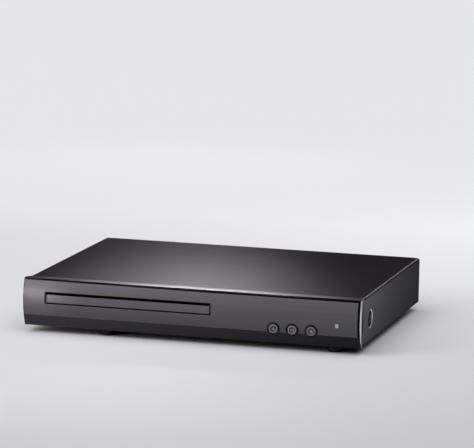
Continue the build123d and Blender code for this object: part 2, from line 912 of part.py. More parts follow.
def notch_limit():
    """The part of the tray that a finger notch may reach."""
    reach = tray_half - tray_skirt
    left = tray_centre_x - reach
    right = tray_centre_x + reach
    return block(left, right, tray_front_y + tray_skirt, disc_y, disc_floor_z, tray_rim_z + cut_past)


def tray_rack():
    """The rack under the tray's left side."""
    last = tray_rear_y - tray_skirt
    start = tray_front_y + tray_skirt
    return rack(rack_module, rack_x, start, last, tray_low_z, tray_under_z, rack_back, gear_y)


def loader_frame():
    """The moulded frame: side walls with rails, gear deck, rear deck, hinge blocks, ears and posts."""
    left = tray_centre_x - wall_out
    right = tray_centre_x + wall_out
    shelf = tray_low_z - fit_gap
    frame = block(left, right, loader_front_y, cam_y - fit_gap, base_z, deck_z)
    frame += block(left, right, hinge_y - hinge_block, loader_rear_y, base_z, deck_z)
    frame += block(left, right, loader_rear_y - loader_wall, loader_rear_y, base_z, shelf)
    for side in (-1, 1):
        inner = tray_centre_x + side * wall_in
        wall = sorted((inner, tray_centre_x + side * wall_out))
        frame += block(*wall, loader_front_y, loader_rear_y, base_z, bridge_z)
        rail = sorted((inner, inner - side * shelf_width))
        frame += block(*rail, loader_front_y, loader_rear_y, shelf - shelf_thickness, shelf)
        grip = sorted((inner, inner - side * tray_skirt))
        for y in (loader_front_y, disc_y + bridge_width / 2, loader_rear_y - 2 * tab_length):
            frame += block(*grip, y, y + tab_length, tray_rim_z + fit_gap, bridge_z)
    for x in ear_xs:
        for y in ear_ys:
            long = ear_length / 2
            wide = ear_width / 2
            ear = block(x - long, x + long, y - wide, y + wide, base_z, deck_z)
            frame += ear - screw_hole_z(x, y, base_z - cut_past, deck_z + cut_past)
    wall_left = gear_x + train_module * wheel_teeth / 2 + cam_wall_gap
    wall_right = tray_centre_x + wall_in
    wall_y = cam_y - fit_gap
    frame += block(wall_left, wall_right, wall_y - cam_wall, wall_y, base_z, pulley_z - fit_gap)
    for x, top in ((gear_x, tray_under_z - fit_gap), (pulley_x, pulley_z + pulley_thickness)):
        frame += rod_z(gear_post, x, gear_y, deck_z, top)
    ring_z = deck_z + shelf_width
    frame += rod_z(motor_seat + motor_ring, motor_x, gear_y, base_z, ring_z)
    frame -= rod_z(motor_seat, motor_x, gear_y, base_z - cut_past, ring_z + cut_past)
    for x0, x1 in hinge_spans():
        cheek = block(x0, x1, hinge_y - hinge_block, hinge_y + hinge_block, base_z, hinge_z + hinge_block)
        frame += cheek - rod_x(trunnion_radius + running_gap, hinge_y, hinge_z, x0 - cut_past, x1 + cut_past)
    return frame


def hinge_spans():
    """The two hinge blocks' extents across."""
    left = tray_centre_x - traverse_left - fit_gap
    right = tray_centre_x + traverse_right + fit_gap
    return ((left - hinge_block, left), (right, right + hinge_block))


def clamp_bridge():
    """The plate over the tray that carries the clamper."""
    outer = wall_out + bridge_thickness
    near = disc_y - bridge_width / 2
    far = disc_y + bridge_width / 2
    left = tray_centre_x - outer
    right = tray_centre_x + outer
    plate = block(left, right, near, far, bridge_z - bridge_apron, bridge_z + bridge_thickness)
    inside_left = tray_centre_x - wall_out
    inside_right = tray_centre_x + wall_out
    plate -= block(inside_left, inside_right, near - cut_past, far + cut_past, 0, bridge_z)
    under_z = bridge_z - cut_past
    over_z = bridge_z + bridge_thickness + cut_past
    plate -= rod_z(clamper_hole, tray_centre_x, disc_y, under_z, over_z)
    for side in (-1, 1):
        x = tray_centre_x + side * (clamper_hole + wall_out) / 2
        rib = yoke_radius / 2
        plate -= block(x - rib, x + rib, near + rib, far - rib, under_z, over_z)
    return plate


def clamper():
    """The puck that presses the disc on the turntable."""
    low = seat_z + seat_gap
    under = bridge_z - clamper_gap
    over = bridge_z + bridge_thickness + clamper_gap
    puck = rod_z(clamper_radius, tray_centre_x, disc_y, low, under)
    puck += rod_z(clamper_neck, tray_centre_x, disc_y, under, over)
    top = seat_z + hub_top + fit_gap
    return puck - rod_z(hub_recess, tray_centre_x, disc_y, low - cut_past, max(top, low + hub_height))


def clamper_yoke():
    """The steel plate on the clamper that the turntable's magnet pulls."""
    low = bridge_z + bridge_thickness + clamper_gap
    plate = rod_z(yoke_radius, tray_centre_x, disc_y, low, low + yoke_thickness)
    return chamfer(plate.edges().group_by(Axis.Z)[-1], yoke_thickness / 2)


def tray_gear():
    """The wheel and the rack pinion on one hub."""
    hub = rod_z(gear_hub, gear_x, gear_y, deck_z + seat_gap, wheel_z)
    hub += gear(wheel_teeth, train_module, gear_x, gear_y, wheel_z, wheel_z + wheel_thickness, 0)
    pinion_z = tray_low_z + fit_gap
    hub += rod_z(gear_neck, gear_x, gear_y, wheel_z + wheel_thickness, pinion_z)
    high = tray_under_z - fit_gap
    hub += gear(rack_pinion_teeth, rack_module, gear_x, gear_y, pinion_z, high, math.pi)
    return hub - rod_z(gear_post + running_gap, gear_x, gear_y, deck_z, high + cut_past)


def grooved(radius, x, y):
    """A belt pulley with a flange on both sides of its groove."""
    wheel = rod_z(radius + pulley_flange, x, y, pulley_z, pulley_z + pulley_thickness)
    groove_low = belt_z - seat_gap
    groove_high = belt_z + belt_thickness + seat_gap
    ring = rod_z(radius + pulley_flange + cut_past, x, y, groove_low, groove_high)
    return wheel - (ring - rod_z(radius - seat_gap, x, y, groove_low, groove_high))


def pulley_gear():
    """The large pulley with its pinion."""
    first = math.pi + math.pi / pulley_pinion_teeth
    low = wheel_z - seat_gap
    hub = rod_z(pulley_hub, pulley_x, gear_y, deck_z + seat_gap, low)
    hub += gear(pulley_pinion_teeth, train_module, pulley_x, gear_y, low, pulley_z, first)
    hub += grooved(pulley_radius, pulley_x, gear_y)
    over_z = pulley_z + pulley_thickness + cut_past
    return hub - rod_z(gear_post + running_gap, pulley_x, gear_y, deck_z, over_z)


def motor_pulley():
    """The small pulley with the motor's shaft."""
    shaft = rod_z(shaft_radius, motor_x, gear_y, pulley_z - shaft_depth, pulley_z)
    return shaft + grooved(motor_pulley_radius, motor_x, gear_y)


def loading_motor():
    """The motor can with a bush round its shaft."""
    low = pan_top_z + motor_clear
    high = low + motor_height
    can = rod_z(motor_radius, motor_x, gear_y, low, high)
    can = fillet(can.edges().group_by(Axis.Z)[0], edge_round)
    can += rod_z(motor_bush, motor_x, gear_y, high, pulley_z - 2 * fit_gap)
    bore_z = pulley_z - shaft_depth - shaft_spare
    return can - rod_z(shaft_radius + running_gap, motor_x, gear_y, bore_z, pulley_z)


def belt_outline(grow):
    """The run of the belt round both pulleys."""
    large = Pos(pulley_x, gear_y) * Circle(pulley_radius + grow)
    small = Pos(motor_x, gear_y) * Circle(motor_pulley_radius + grow)
    return make_hull([*large.edges(), *small.edges()])


def drive_belt():
    """The square belt."""
    run = belt_outline(belt_thickness) - belt_outline(0)
    return Pos(0, 0, belt_z) * extrude(run, belt_thickness)


def cam_slider():
    """The plate whose sloped slots lower the traverse's pins."""
    left = tray_centre_x - cam_left
    right = tray_centre_x + cam_right
    hook_z = pulley_z
    plate = block(left, right, cam_y, cam_y + cam_thickness, cam_low_z, hook_z)
    hook_left = tray_centre_x - cam_hook_left
    hook_right = tray_centre_x + cam_hook_right
    top = hook_z + cam_wall
    near = cam_y - cam_hook_depth
    plate += block(hook_left, hook_right, near, cam_y + cam_thickness, hook_z, top)
    width = 2 * (pin_radius + pin_slack)
    length = math.hypot(cam_travel, cam_drop)
    slope = math.degrees(math.atan2(cam_drop, cam_travel))
    for offset in pin_offsets:
        x = tray_centre_x + offset - cam_travel / 2
        z = hinge_z - cam_drop / 2
        slot = SlotCenterToCenter(length, width)
        cutter = extrude(Rot(0, 0, slope) * slot, 2 * cam_thickness, both=True)
        plate -= Pos(x, cam_y, z) * Rot(90, 0, 0) * cutter
    return plate


def traverse_frame():
    """The tilting plate that carries spindle, rods and sled drive."""
    left = tray_centre_x - traverse_left
    right = tray_centre_x + traverse_right
    near = disc_y - traverse_front
    far = disc_y + traverse_rear
    plate = block(left, right, near, far, plate_z, plate_top_z)
    for edge in (left, right - traverse_plate):
        plate += block(edge, edge + traverse_plate, near, far, plate_top_z, plate_top_z + traverse_rib)
        arm = trunnion_radius + trunnion_wall
        plate += block(edge, edge + traverse_plate, far, hinge_y + arm, hinge_z - arm, hinge_z + arm)
    plate += rod_x(trunnion_radius, hinge_y, hinge_z, left - trunnion_length, left)
    plate += rod_x(trunnion_radius, hinge_y, hinge_z, right, right + trunnion_length)
    window_left = tray_centre_x - window_half
    window_right = tray_centre_x + window_half
    under_z = plate_z - cut_past
    over_z = plate_top_z + cut_past
    plate -= block(window_left, window_right, disc_y + window_front, disc_y + window_rear, under_z, over_z)
    plate -= rod_z(spindle_radius + seat_gap, tray_centre_x, disc_y, under_z, over_z)
    for offset in pin_offsets:
        plate += rod_y(pin_radius, tray_centre_x + offset, hinge_z, cam_y - fit_gap / 2, near)
    post_z = sled_wheel_z + sled_wheel_thickness
    plate += rod_z(sled_post, sled_gear_x, sled_gear_y, plate_top_z, post_z)
    plate -= rod_z(shaft_radius + seat_gap, sled_gear_x, sled_pinion_y, under_z, over_z)
    return plate - guide_rods()


def guide_rods():
    """The two polished rods that the sled runs on."""
    near = disc_y + window_front - rod_seat
    far = disc_y + window_rear + rod_seat
    z = hinge_z
    left = rod_y(rod_radius, tray_centre_x - rod_offset, z, near, far)
    return left + rod_y(rod_radius, tray_centre_x + rod_offset, z, near, far)


def spindle_motor():
    """The flat motor under the turntable."""
    can = rod_z(spindle_radius, tray_centre_x, disc_y, plate_top_z - spindle_height, plate_top_z)
    can += rod_z(spindle_flange, tray_centre_x, disc_y, plate_top_z, plate_top_z + spindle_plate)
    can += rod_z(spindle_neck, tray_centre_x, disc_y, plate_top_z, plate_top_z + spindle_neck_height)
    return can - rod_z(shaft_radius + running_gap, tray_centre_x, disc_y, plate_z, seat_z)


def turntable():
    """The disc seat with its centring hub and shaft."""
    seat = seat_z - turntable_thickness
    table = rod_z(turntable_radius, tray_centre_x, disc_y, seat, seat_z)
    table += rod_z(hub_radius, tray_centre_x, disc_y, seat_z, seat_z + hub_step)
    cone = Cone(hub_radius, hub_top, hub_height - hub_step)
    table += Pos(tray_centre_x, disc_y, seat_z + (hub_step + hub_height) / 2) * cone
    return table + rod_z(shaft_radius, tray_centre_x, disc_y, plate_top_z, seat)


def sled_motor():
    """The small motor under the traverse plate."""
    low = plate_z - sled_motor_height
    can = rod_z(sled_motor_radius, sled_gear_x, sled_pinion_y, low, plate_z)
    bore_z = plate_z - sled_shaft_depth - shaft_spare
    return can - rod_z(shaft_radius + running_gap, sled_gear_x, sled_pinion_y, bore_z, plate_z + cut_past)


def sled_pinion():
    """The sled motor's pinion and shaft."""
    first = math.pi / 2 + math.pi / sled_pinion_teeth
    low = sled_wheel_z - seat_gap
    high = sled_wheel_z + sled_wheel_thickness + seat_gap
    pinion = gear(sled_pinion_teeth, sled_module, sled_gear_x, sled_pinion_y, low, high, first)
    return pinion + rod_z(shaft_radius, sled_gear_x, sled_pinion_y, plate_z - sled_shaft_depth, low)


def sled_gear():
    """The wheel and pinion between the sled motor and the carriage's rack."""
    low = plate_top_z + fit_gap
    high = sled_wheel_z + sled_wheel_thickness
    drive = gear(sled_gear_teeth, sled_module, sled_gear_x, sled_gear_y, low, sled_wheel_z, math.pi)
    drive += gear(sled_wheel_teeth, sled_module, sled_gear_x, sled_gear_y, sled_wheel_z, high, -math.pi / 2)
    bore = sled_post + running_gap
    return drive - rod_z(bore, sled_gear_x, sled_gear_y, low - cut_past, high + cut_past)


def pickup_carriage():
    """The sled: a box between the rods, bearing lugs, a fork and its rack."""
    near = lens_y - carriage_front
    far = lens_y + carriage_rear
    low = plate_z - carriage_low
    high = plate_z + carriage_high
    left = tray_centre_x - carriage_half
    right = tray_centre_x + carriage_half
    body = block(left, right, near, far, low, high)
    lug_x = tray_centre_x - rod_offset - rod_radius - lug_wall
    lug_z = plate_z - lug_low
    for y in (near, far - lug_thickness):
        body += block(lug_x, left, y, y + lug_thickness, lug_z, plate_top_z + lug_wall)
    middle = (near + far) / 2
    arm_near = middle - lug_thickness / 2
    arm_far = middle + lug_thickness / 2
    fork_x = tray_centre_x + rod_offset + rod_radius + fork_wall
    body += block(right, fork_x, arm_near, arm_far, lug_z, high)
    rack_z = plate_top_z + fit_gap
    strip_x = tray_centre_x + sled_rack_x
    reach = strip_x - tooth_dedendum * sled_module - sled_rack_back
    body += block(right, reach, arm_near, arm_far, rack_z, high)
    for side in (-1, 1):
        bore_x = tray_centre_x + side * rod_offset
        body -= rod_y(rod_radius + running_gap, bore_x, hinge_z, near - cut_past, far + cut_past)
    last = sled_gear_y + sled_rack_past
    first = last - sled_rack_length
    tall = rack_z + sled_rack_tall
    return body + rack(sled_module, strip_x, first, last, rack_z, tall, sled_rack_back, sled_gear_y)


def lens_unit():
    """The lens actuator on the carriage."""
    low = plate_z + carriage_high
    high = low + lens_unit_tall
    left = tray_centre_x - lens_unit_half
    right = tray_centre_x + lens_unit_half
    near = lens_y - carriage_front + lens_edge
    far = lens_y + carriage_rear - lens_edge
    unit = block(left, right, near, far, low, high)
    unit = chamfer(unit.edges().group_by(Axis.Z)[-1], edge_round)
    dome = Pos(tray_centre_x, lens_y, high) * Sphere(lens_radius)
    return unit + (dome & block(left, right, near, far, high, high + lens_proud))


def board(left, right, near, far, holes):
    """A circuit board with screw holes."""
    plate = block(left, right, near, far, base_z, board_top_z)
    for x, y in holes:
        if left < x < right:
            plate -= screw_hole_z(x, y, base_z - cut_past, board_top_z + cut_past)
    return plate


def front_board():
    """The upright board behind the buttons."""
    low = low_z + front_board_low
    high = low + front_board_tall
    plate = block(front_board_left, front_board_right, front_board_y, front_board_back_y, low, high)
    for x, z in front_posts():
        plate -= screw_hole_y(x, z, front_board_y - cut_past, front_board_back_y + cut_past)
    return plate


def tact_switches():
    """A push switch behind each button."""
    half = switch_size / 2
    group = []
    for x in button_xs:
        case = block(x - half, x + half, switch_y, front_board_y, button_z - half, button_z + half)
        group.append(case + rod_y(button_stem, x, button_z, switch_y - switch_plunger, switch_y))
    return Compound(group)


def front_sensors():
    """The infrared receiver behind the window and the lamp beside it."""
    half = switch_size / 2
    near = switch_y + fit_gap
    case = block(window_x - half, window_x + half, near, front_board_y, window_z - half, window_z + half)
    case = chamfer(case.faces().sort_by(Axis.Y)[0].edges(), edge_round)
    lamp = rod_y(lamp_radius, window_x - switch_size, window_z + switch_size, switch_y, front_board_y)
    return Compound([case, lamp])


def jack_housing():
    """The moulded block that holds the four jacks on the main board."""
    half = jack_pitch / 2 - fit_gap
    left = jack_first - half
    right = jack_xs[-1] + half
    return block(left, right, rear_in_y - jack_body, rear_in_y - seat_gap, board_top_z, jack_z + half)


def jack_shells():
    """The plated outer contact of each jack."""
    low = rear_out_y + jack_collar_depth
    group = []
    for x in jack_xs:
        mouth = rear_y + jack_reach
        tube = rod_y(jack_shell, x, jack_z, low, mouth)
        group.append(tube - rod_y(jack_shell - jack_shell_wall, x, jack_z, low - cut_past, mouth + cut_past))
    return Compound(group)


def jack_insert(x):
    """A jack's coloured insulator with the centre contact's bore."""
    collar = rear_out_y + jack_collar_depth
    mouth = rear_y + jack_reach - edge_round
    body = rod_y(jack_shell, x, jack_z, rear_in_y - seat_gap, rear_out_y)
    body += rod_y(jack_collar, x, jack_z, rear_out_y, collar)
    body += rod_y(jack_shell - jack_shell_wall, x, jack_z, collar, mouth)
    return body - rod_y(jack_bore, x, jack_z, mouth - jack_bore_depth, mouth + cut_past)


def hdmi_outline(grow):
    """The digital video socket's section, with its two cut corners."""
    half = hdmi_width / 2 + grow
    low = board_top_z - grow
    high = board_top_z + hdmi_tall + grow
    cut = hdmi_chamfer
    points = [(half, high), (-half, high), (-half, low + 2 * cut), (cut - half, low)]
    points += [(half - cut, low), (half, low + 2 * cut)]
    return make_face(Polyline(*[(hdmi_x + x, z) for x, z in points], close=True))


def hdmi_shell():
    """The folded shell of the digital video socket."""
    outer = extrude(Plane.XZ * hdmi_outline(0), -hdmi_depth)
    inner = extrude(Plane.XZ * hdmi_outline(-hdmi_wall), hdmi_wall - hdmi_depth)
    return Pos(0, rear_y - hdmi_depth, 0) * (outer - Pos(0, hdmi_wall, 0) * inner)


def hdmi_tongue():
    """The contact tongue inside the digital video socket."""
    near = rear_y - hdmi_depth + hdmi_wall
    low = board_top_z + hdmi_tall / 2
    half = tongue_width / 2
    return block(hdmi_x - half, hdmi_x + half, near, near + tongue_reach, low, low + tongue_tall)


def inlet_slot(near, far):
    """The mains inlet's double-round hollow."""
    lobe = inlet_slot_tall / 2
    off = (inlet_slot_width - inlet_slot_tall) / 2
    left = rod_y(lobe, inlet_x - off, inlet_z, near, far)
    right = rod_y(lobe, inlet_x + off, inlet_z, near, far)
    waist = lobe - inlet_waist
    return left + right + block(inlet_x - off, inlet_x + off, near, far, inlet_z - waist, inlet_z + waist)


def mains_inlet():
    """The two-pole inlet body."""
    half = inlet_width / 2
    tall = inlet_tall / 2
    near = rear_y - inlet_depth
    body = block(inlet_x - half, inlet_x + half, near, rear_y, inlet_z - tall, inlet_z + tall)
    body -= inlet_slot(rear_y - inlet_slot_depth, rear_y + cut_past)
    return body - inlet_pins()


def inlet_pins():
    """The inlet's two contact pins."""
    root = rear_y - inlet_slot_depth - inlet_pin_root
    tip = rear_y - inlet_slot_depth + inlet_pin_length
    off = inlet_pin_pitch / 2
    left = rod_y(inlet_pin_radius, inlet_x - off, inlet_z, root, tip)
    return left + rod_y(inlet_pin_radius, inlet_x + off, inlet_z, root, tip)


def on_main(x, y, wide, deep, tall):
    """A block component on the main board, placed from the board's front left corner."""
    left = main_left + x
    near = main_front_y + y
    return block(left, left + wide, near, near + deep, board_top_z, board_top_z + tall)


def main_chips():
    """The decoder, memory, flash and driver packages."""
    decoder = on_main(decoder_x, decoder_y, decoder_size, decoder_size, decoder_tall)
    memory = on_main(memory_x, memory_y, memory_width, memory_depth, memory_tall)
    flash = on_main(flash_x, flash_y, flash_width, flash_depth, decoder_tall)
    driver = on_main(flash_x, driver_y, driver_width, driver_depth, driver_tall)
    return Compound([decoder, memory, flash, driver])


def can_capacitor(x, y, radius, tall):
    """A round capacitor standing on a board."""
    can = rod_z(radius, x, y, board_top_z, board_top_z + tall)
    return chamfer(can.edges().group_by(Axis.Z)[-1], edge_round)


def capacitors():
    """The round capacitors: a row on the main board, the output row and the reservoir."""
    group = []
    for i in range(small_can_count):
        x = main_left + small_can_x + i * small_can_pitch
        group.append(can_capacitor(x, main_front_y + small_can_y, small_can_radius, small_can_tall))
    for i in range(tall_can_count):
        y = power_front_y + tall_can_y + i * tall_can_pitch
        group.append(can_capacitor(power_left + tall_can_x, y, tall_can_radius, tall_can_tall))
    reservoir = (power_x + reservoir_offset, power_front_y + reservoir_y)
    group.append(can_capacitor(*reservoir, reservoir_radius, reservoir_tall))
    return Compound(group)


def transformer_core():
    """The ferrite core with its two windows."""
    y = power_front_y + core_y
    half = core_width / 2
    deep = core_depth / 2
    high = board_top_z + core_tall
    core = block(power_x - half, power_x + half, y - deep, y + deep, board_top_z, high)
    for side in (-1, 1):
        across = sorted((power_x + side * core_leg / 2, power_x + side * (half - core_side)))
        past = deep + cut_past
        core -= block(*across, y - past, y + past, board_top_z + core_side, high - core_side)
    return core


def transformer_winding():
    """The wound bobbin round the core's middle leg."""
    y = power_front_y + core_y
    half = core_width / 2 - core_side - coil_gap
    deep = coil_depth / 2
    low = board_top_z + core_side + coil_gap
    high = board_top_z + core_tall - core_side - coil_gap
    coil = block(power_x - half, power_x + half, y - deep, y + deep, low, high)
    coil = fillet(coil.edges().filter_by(Axis.Z), coil_round)
    leg = core_leg / 2 + coil_gap
    through = core_depth / 2 + coil_gap
    return coil - block(power_x - leg, power_x + leg, y - through, y + through, low, high)


def heat_sink():
    """A finned extrusion on the power board."""
    right = power_right - sink_inset
    left = right - sink_plate
    near = power_front_y + sink_y
    far = near + sink_length
    sink = block(left, right, near, far, board_top_z, board_top_z + sink_tall)
    for i in range(fin_count):
        low = board_top_z + fin_low + i * fin_pitch
        sink += block(left - fin_reach, left, near, far, low, low + fin_thickness)
    return sink


def connectors():
    """The plugs at the ends of the ribbons and wires."""
    left = ribbon_x - plug_half
    right = ribbon_x + plug_half
    low = low_z + front_board_low + front_plug_height
    front = block(left, right, front_board_back_y, front_board_back_y + plug_depth, low, low + plug_tall)
    near = main_front_y + plug_edge
    main = block(left, right, near, near + plug_depth, board_top_z, board_top_z + plug_tall)
    return Compound([front, main, pickup_plug(), *wire_plugs()])


def pickup_plug():
    """The pickup ribbon's plug on the main board's left edge."""
    left = main_left + plug_edge
    near = pickup_ribbon_y - plug_half
    far = pickup_ribbon_y + plug_half
    return block(left, left + plug_depth, near, far, board_top_z, board_top_z + plug_tall)


def wire_plugs():
    """The power wires' plugs on the two boards."""
    left = power_left + plug_edge
    near = power_front_y + power_plug_y
    high = board_top_z + wire_plug_height
    power = block(left, left + plug_depth, near, near + wire_plug_length, board_top_z, high)
    right = main_right - plug_edge
    near = main_front_y + main_plug_y
    main = block(right - wire_plug_length, right, near, near + plug_depth, board_top_z, high)
    return [power, main]


def ribbon_section(path, across):
    """A flat cable's section at the start of its path."""
    start = Plane(origin=path @ 0, x_dir=across, z_dir=path % 0)
    return start * Rectangle(ribbon_width, ribbon_thickness)


def ribbons():
    """The flat cables to the main board, from the front board and from under the loader."""
    return Compound([front_ribbon(), pickup_ribbon()])


def front_ribbon():
    """The flat cable from the front board along the pan to the main board."""
    start = front_board_back_y + plug_depth
    drop = start + ribbon_loop
    high = low_z + front_board_low + front_plug_height + plug_tall / 2
    low = pan_top_z + ribbon_thickness / 2 + seat_gap
    end = main_front_y + plug_edge
    rise = end - ribbon_rise
    plug = board_top_z + plug_tall / 2
    points = [(start, high), (drop, high), (drop, low), (rise, low), (rise, plug), (end, plug)]
    path = FilletPolyline(*[(ribbon_x, y, z) for y, z in points], radius=ribbon_bend)
    return sweep(ribbon_section(path, (1, 0, 0)), path=path)


def pickup_ribbon():
    """The flat cable from its seat under the loader to the main board."""
    low = base_z - ribbon_thickness / 2
    plug = board_top_z + plug_tall / 2
    rise = main_left - ribbon_thickness - pickup_gap
    points = [(tray_centre_x + pickup_seat, low), (rise, low), (rise, plug), (main_left + plug_edge, plug)]
    path = Polyline(*[(x, pickup_ribbon_y, z) for x, z in points])
    return sweep(ribbon_section(path, (0, 1, 0)), path=path, transition=Transition.RIGHT)


def power_wires():
    """The wires from the power board to the main board."""
    z = board_top_z + wire_height
    row = (wire_plug_length - (wire_count - 1) * wire_pitch) / 2
    group = []
    for i in range(wire_count):
        y = power_front_y + power_plug_y + row + i * wire_pitch
        x = main_right - plug_edge - wire_plug_length + row + i * wire_pitch
        start = (power_left + plug_edge, y, z)
        path = FilletPolyline(start, (x, y, z), (x, main_front_y + main_plug_y, z), radius=wire_bend)
        section = Plane(origin=path @ 0, z_dir=path % 0) * Circle(wire_radius)
        group.append(sweep(section, path=path))
    return Compound(group)


def screw_z(x, y, z):
    """A pan-head screw driven down."""
    return rod_z(screw_head, x, y, z, z + screw_head_height) + rod_z(screw_radius, x, y, z - screw_length, z)


def screw_y(x, z, y):
    """A pan-head screw driven forward."""
    return rod_y(screw_head, x, z, y, y + screw_head_height) + rod_y(screw_radius, x, z, y - screw_length, y)


def chassis_screws():
    """The screws of the loader and the boards."""
    group = [screw_z(x, y, deck_z) for x in ear_xs for y in ear_ys]
    group += [screw_z(x, y, board_top_z) for x, y in board_stands()]
    for x, z in front_posts():
        group.append(screw_y(x, z, front_board_back_y))
    return Compound(group)


def cover_screws():
    """The cover's side and rear screws."""
    group = []
    for side in (-1, 1):
        seat = side * (cover_half - dimple_depth)
        head = sorted((seat, seat + side * screw_head_height))
        shank = sorted((seat - side * screw_length, seat))
        screw = rod_x(cover_screw_head, dimple_y, dimple_z, *head)
        group.append(screw + rod_x(screw_radius, dimple_y, dimple_z, *shank))
    for x in lip_screw_xs:
        group.append(screw_y(x, lip_screw_z, rear_y))
    return Compound(group)


def build():
    """Every node of the player by name."""
    names = ("front_left", "front_right", "rear_left", "rear_right")
    spots = [(x, y) for y in foot_ys for x in foot_xs]
    nodes = {f"foot_{name}": foot(*spot) for name, spot in zip(names, spots)}
    for name, x in zip(("open", "play", "stop"), button_xs):
        nodes[f"{name}_button"] = button(x)
    for name, x in zip(("digital", "video", "left", "right"), jack_xs):
        nodes[f"jack_insert_{name}"] = jack_insert(x)
    main = (main_left, main_right, main_front_y, board_rear_y)
    power = (power_left, power_right, power_front_y, board_rear_y)
    nodes["main_board"] = board(*main, board_stands())
    nodes["power_board"] = board(*power, board_stands())
    pieces = [front_panel, front_fascia, sensor_window, tray_front, top_cover, bottom_chassis, rear_panel]
    pieces += [disc_tray, tray_rack, loader_frame, clamp_bridge, clamper, clamper_yoke]
    pieces += [tray_gear, pulley_gear, motor_pulley, loading_motor, drive_belt, cam_slider]
    pieces += [traverse_frame, guide_rods, spindle_motor, turntable, sled_motor, sled_pinion, sled_gear]
    pieces += [pickup_carriage, lens_unit, front_board, tact_switches, front_sensors]
    pieces += [jack_housing, jack_shells, hdmi_shell, hdmi_tongue, mains_inlet, inlet_pins]
    pieces += [main_chips, capacitors, transformer_core, transformer_winding, heat_sink, connectors]
    pieces += [ribbons, power_wires, chassis_screws, cover_screws]
    for piece in pieces:
        nodes[piece.__name__] = piece()
    return nodes


def main():
    """Write every node to its own file."""
    os.makedirs("parts", exist_ok=True)
    for name, shape in build().items():
        export_step(shape, f"parts/{name}.step")


if __name__ == "__main__":
    main()
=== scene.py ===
# %% [markdown]
# A slim disc player, dressed for its picture.
#
# The solids come from the CAD model and keep their places. This script gives every one of them
# its finish, adds the small printed and stamped details, and sets up the floor, the light and the
# camera.

# %% Load the frame
import json
import math

import bmesh
import bpy
from mathutils import Matrix, Vector


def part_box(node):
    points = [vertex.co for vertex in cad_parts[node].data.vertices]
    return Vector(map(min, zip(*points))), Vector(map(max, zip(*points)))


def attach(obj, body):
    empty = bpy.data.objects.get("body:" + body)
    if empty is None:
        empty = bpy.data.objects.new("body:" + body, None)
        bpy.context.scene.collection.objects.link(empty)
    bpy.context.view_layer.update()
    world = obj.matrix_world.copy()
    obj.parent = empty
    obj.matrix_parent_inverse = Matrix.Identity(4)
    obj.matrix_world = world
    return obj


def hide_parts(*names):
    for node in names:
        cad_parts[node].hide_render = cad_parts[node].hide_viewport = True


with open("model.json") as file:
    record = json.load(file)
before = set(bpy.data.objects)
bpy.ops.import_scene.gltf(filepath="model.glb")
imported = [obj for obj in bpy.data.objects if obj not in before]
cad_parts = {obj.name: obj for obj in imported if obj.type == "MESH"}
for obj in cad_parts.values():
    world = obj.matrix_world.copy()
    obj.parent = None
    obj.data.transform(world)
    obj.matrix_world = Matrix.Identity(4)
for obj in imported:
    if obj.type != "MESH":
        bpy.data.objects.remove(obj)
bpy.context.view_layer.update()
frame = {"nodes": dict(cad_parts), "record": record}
MM = 0.001
nodes = frame["nodes"]
slot_nodes = {}
for row in frame["record"]["subparts"]:
    slot_nodes.setdefault(row["material_slot"], []).append(row["node"])
print(len(nodes), "solids in", len(slot_nodes), "finishes")

# %% [markdown]
# Finishes are made of shader nodes. Wiring nodes by hand hides the idea behind a finish, so a
# small class wraps a socket: an expression such as `0.3 + 0.1 * grain` then adds its own Math
# nodes. Another class holds the material and has one method for every other kind of node.


# %% Sockets that take part in expressions
class Flow:
    """A socket's value inside a Python expression."""

    def __init__(self, paint, socket):
        self.paint = paint
        self.socket = socket

    def math(self, operation, first, second):
        """One Math node on two values."""
        return self.paint.math(operation, first, second)

    def __add__(self, other):
        return self.math("ADD", self, other)

    def __radd__(self, other):
        return self.math("ADD", other, self)

    def __sub__(self, other):
        return self.math("SUBTRACT", self, other)

    def __rsub__(self, other):
        return self.math("SUBTRACT", other, self)

    def __mul__(self, other):
        return self.math("MULTIPLY", self, other)

    def __rmul__(self, other):
        return self.math("MULTIPLY", other, self)

    def __lt__(self, other):
        return self.math("LESS_THAN", self, other)

    def __gt__(self, other):
        return self.math("GREATER_THAN", self, other)


# %% A material that is written as expressions
def scaled(colour, factor):
    """A lighter or darker colour."""
    return tuple(factor * part for part in colour)


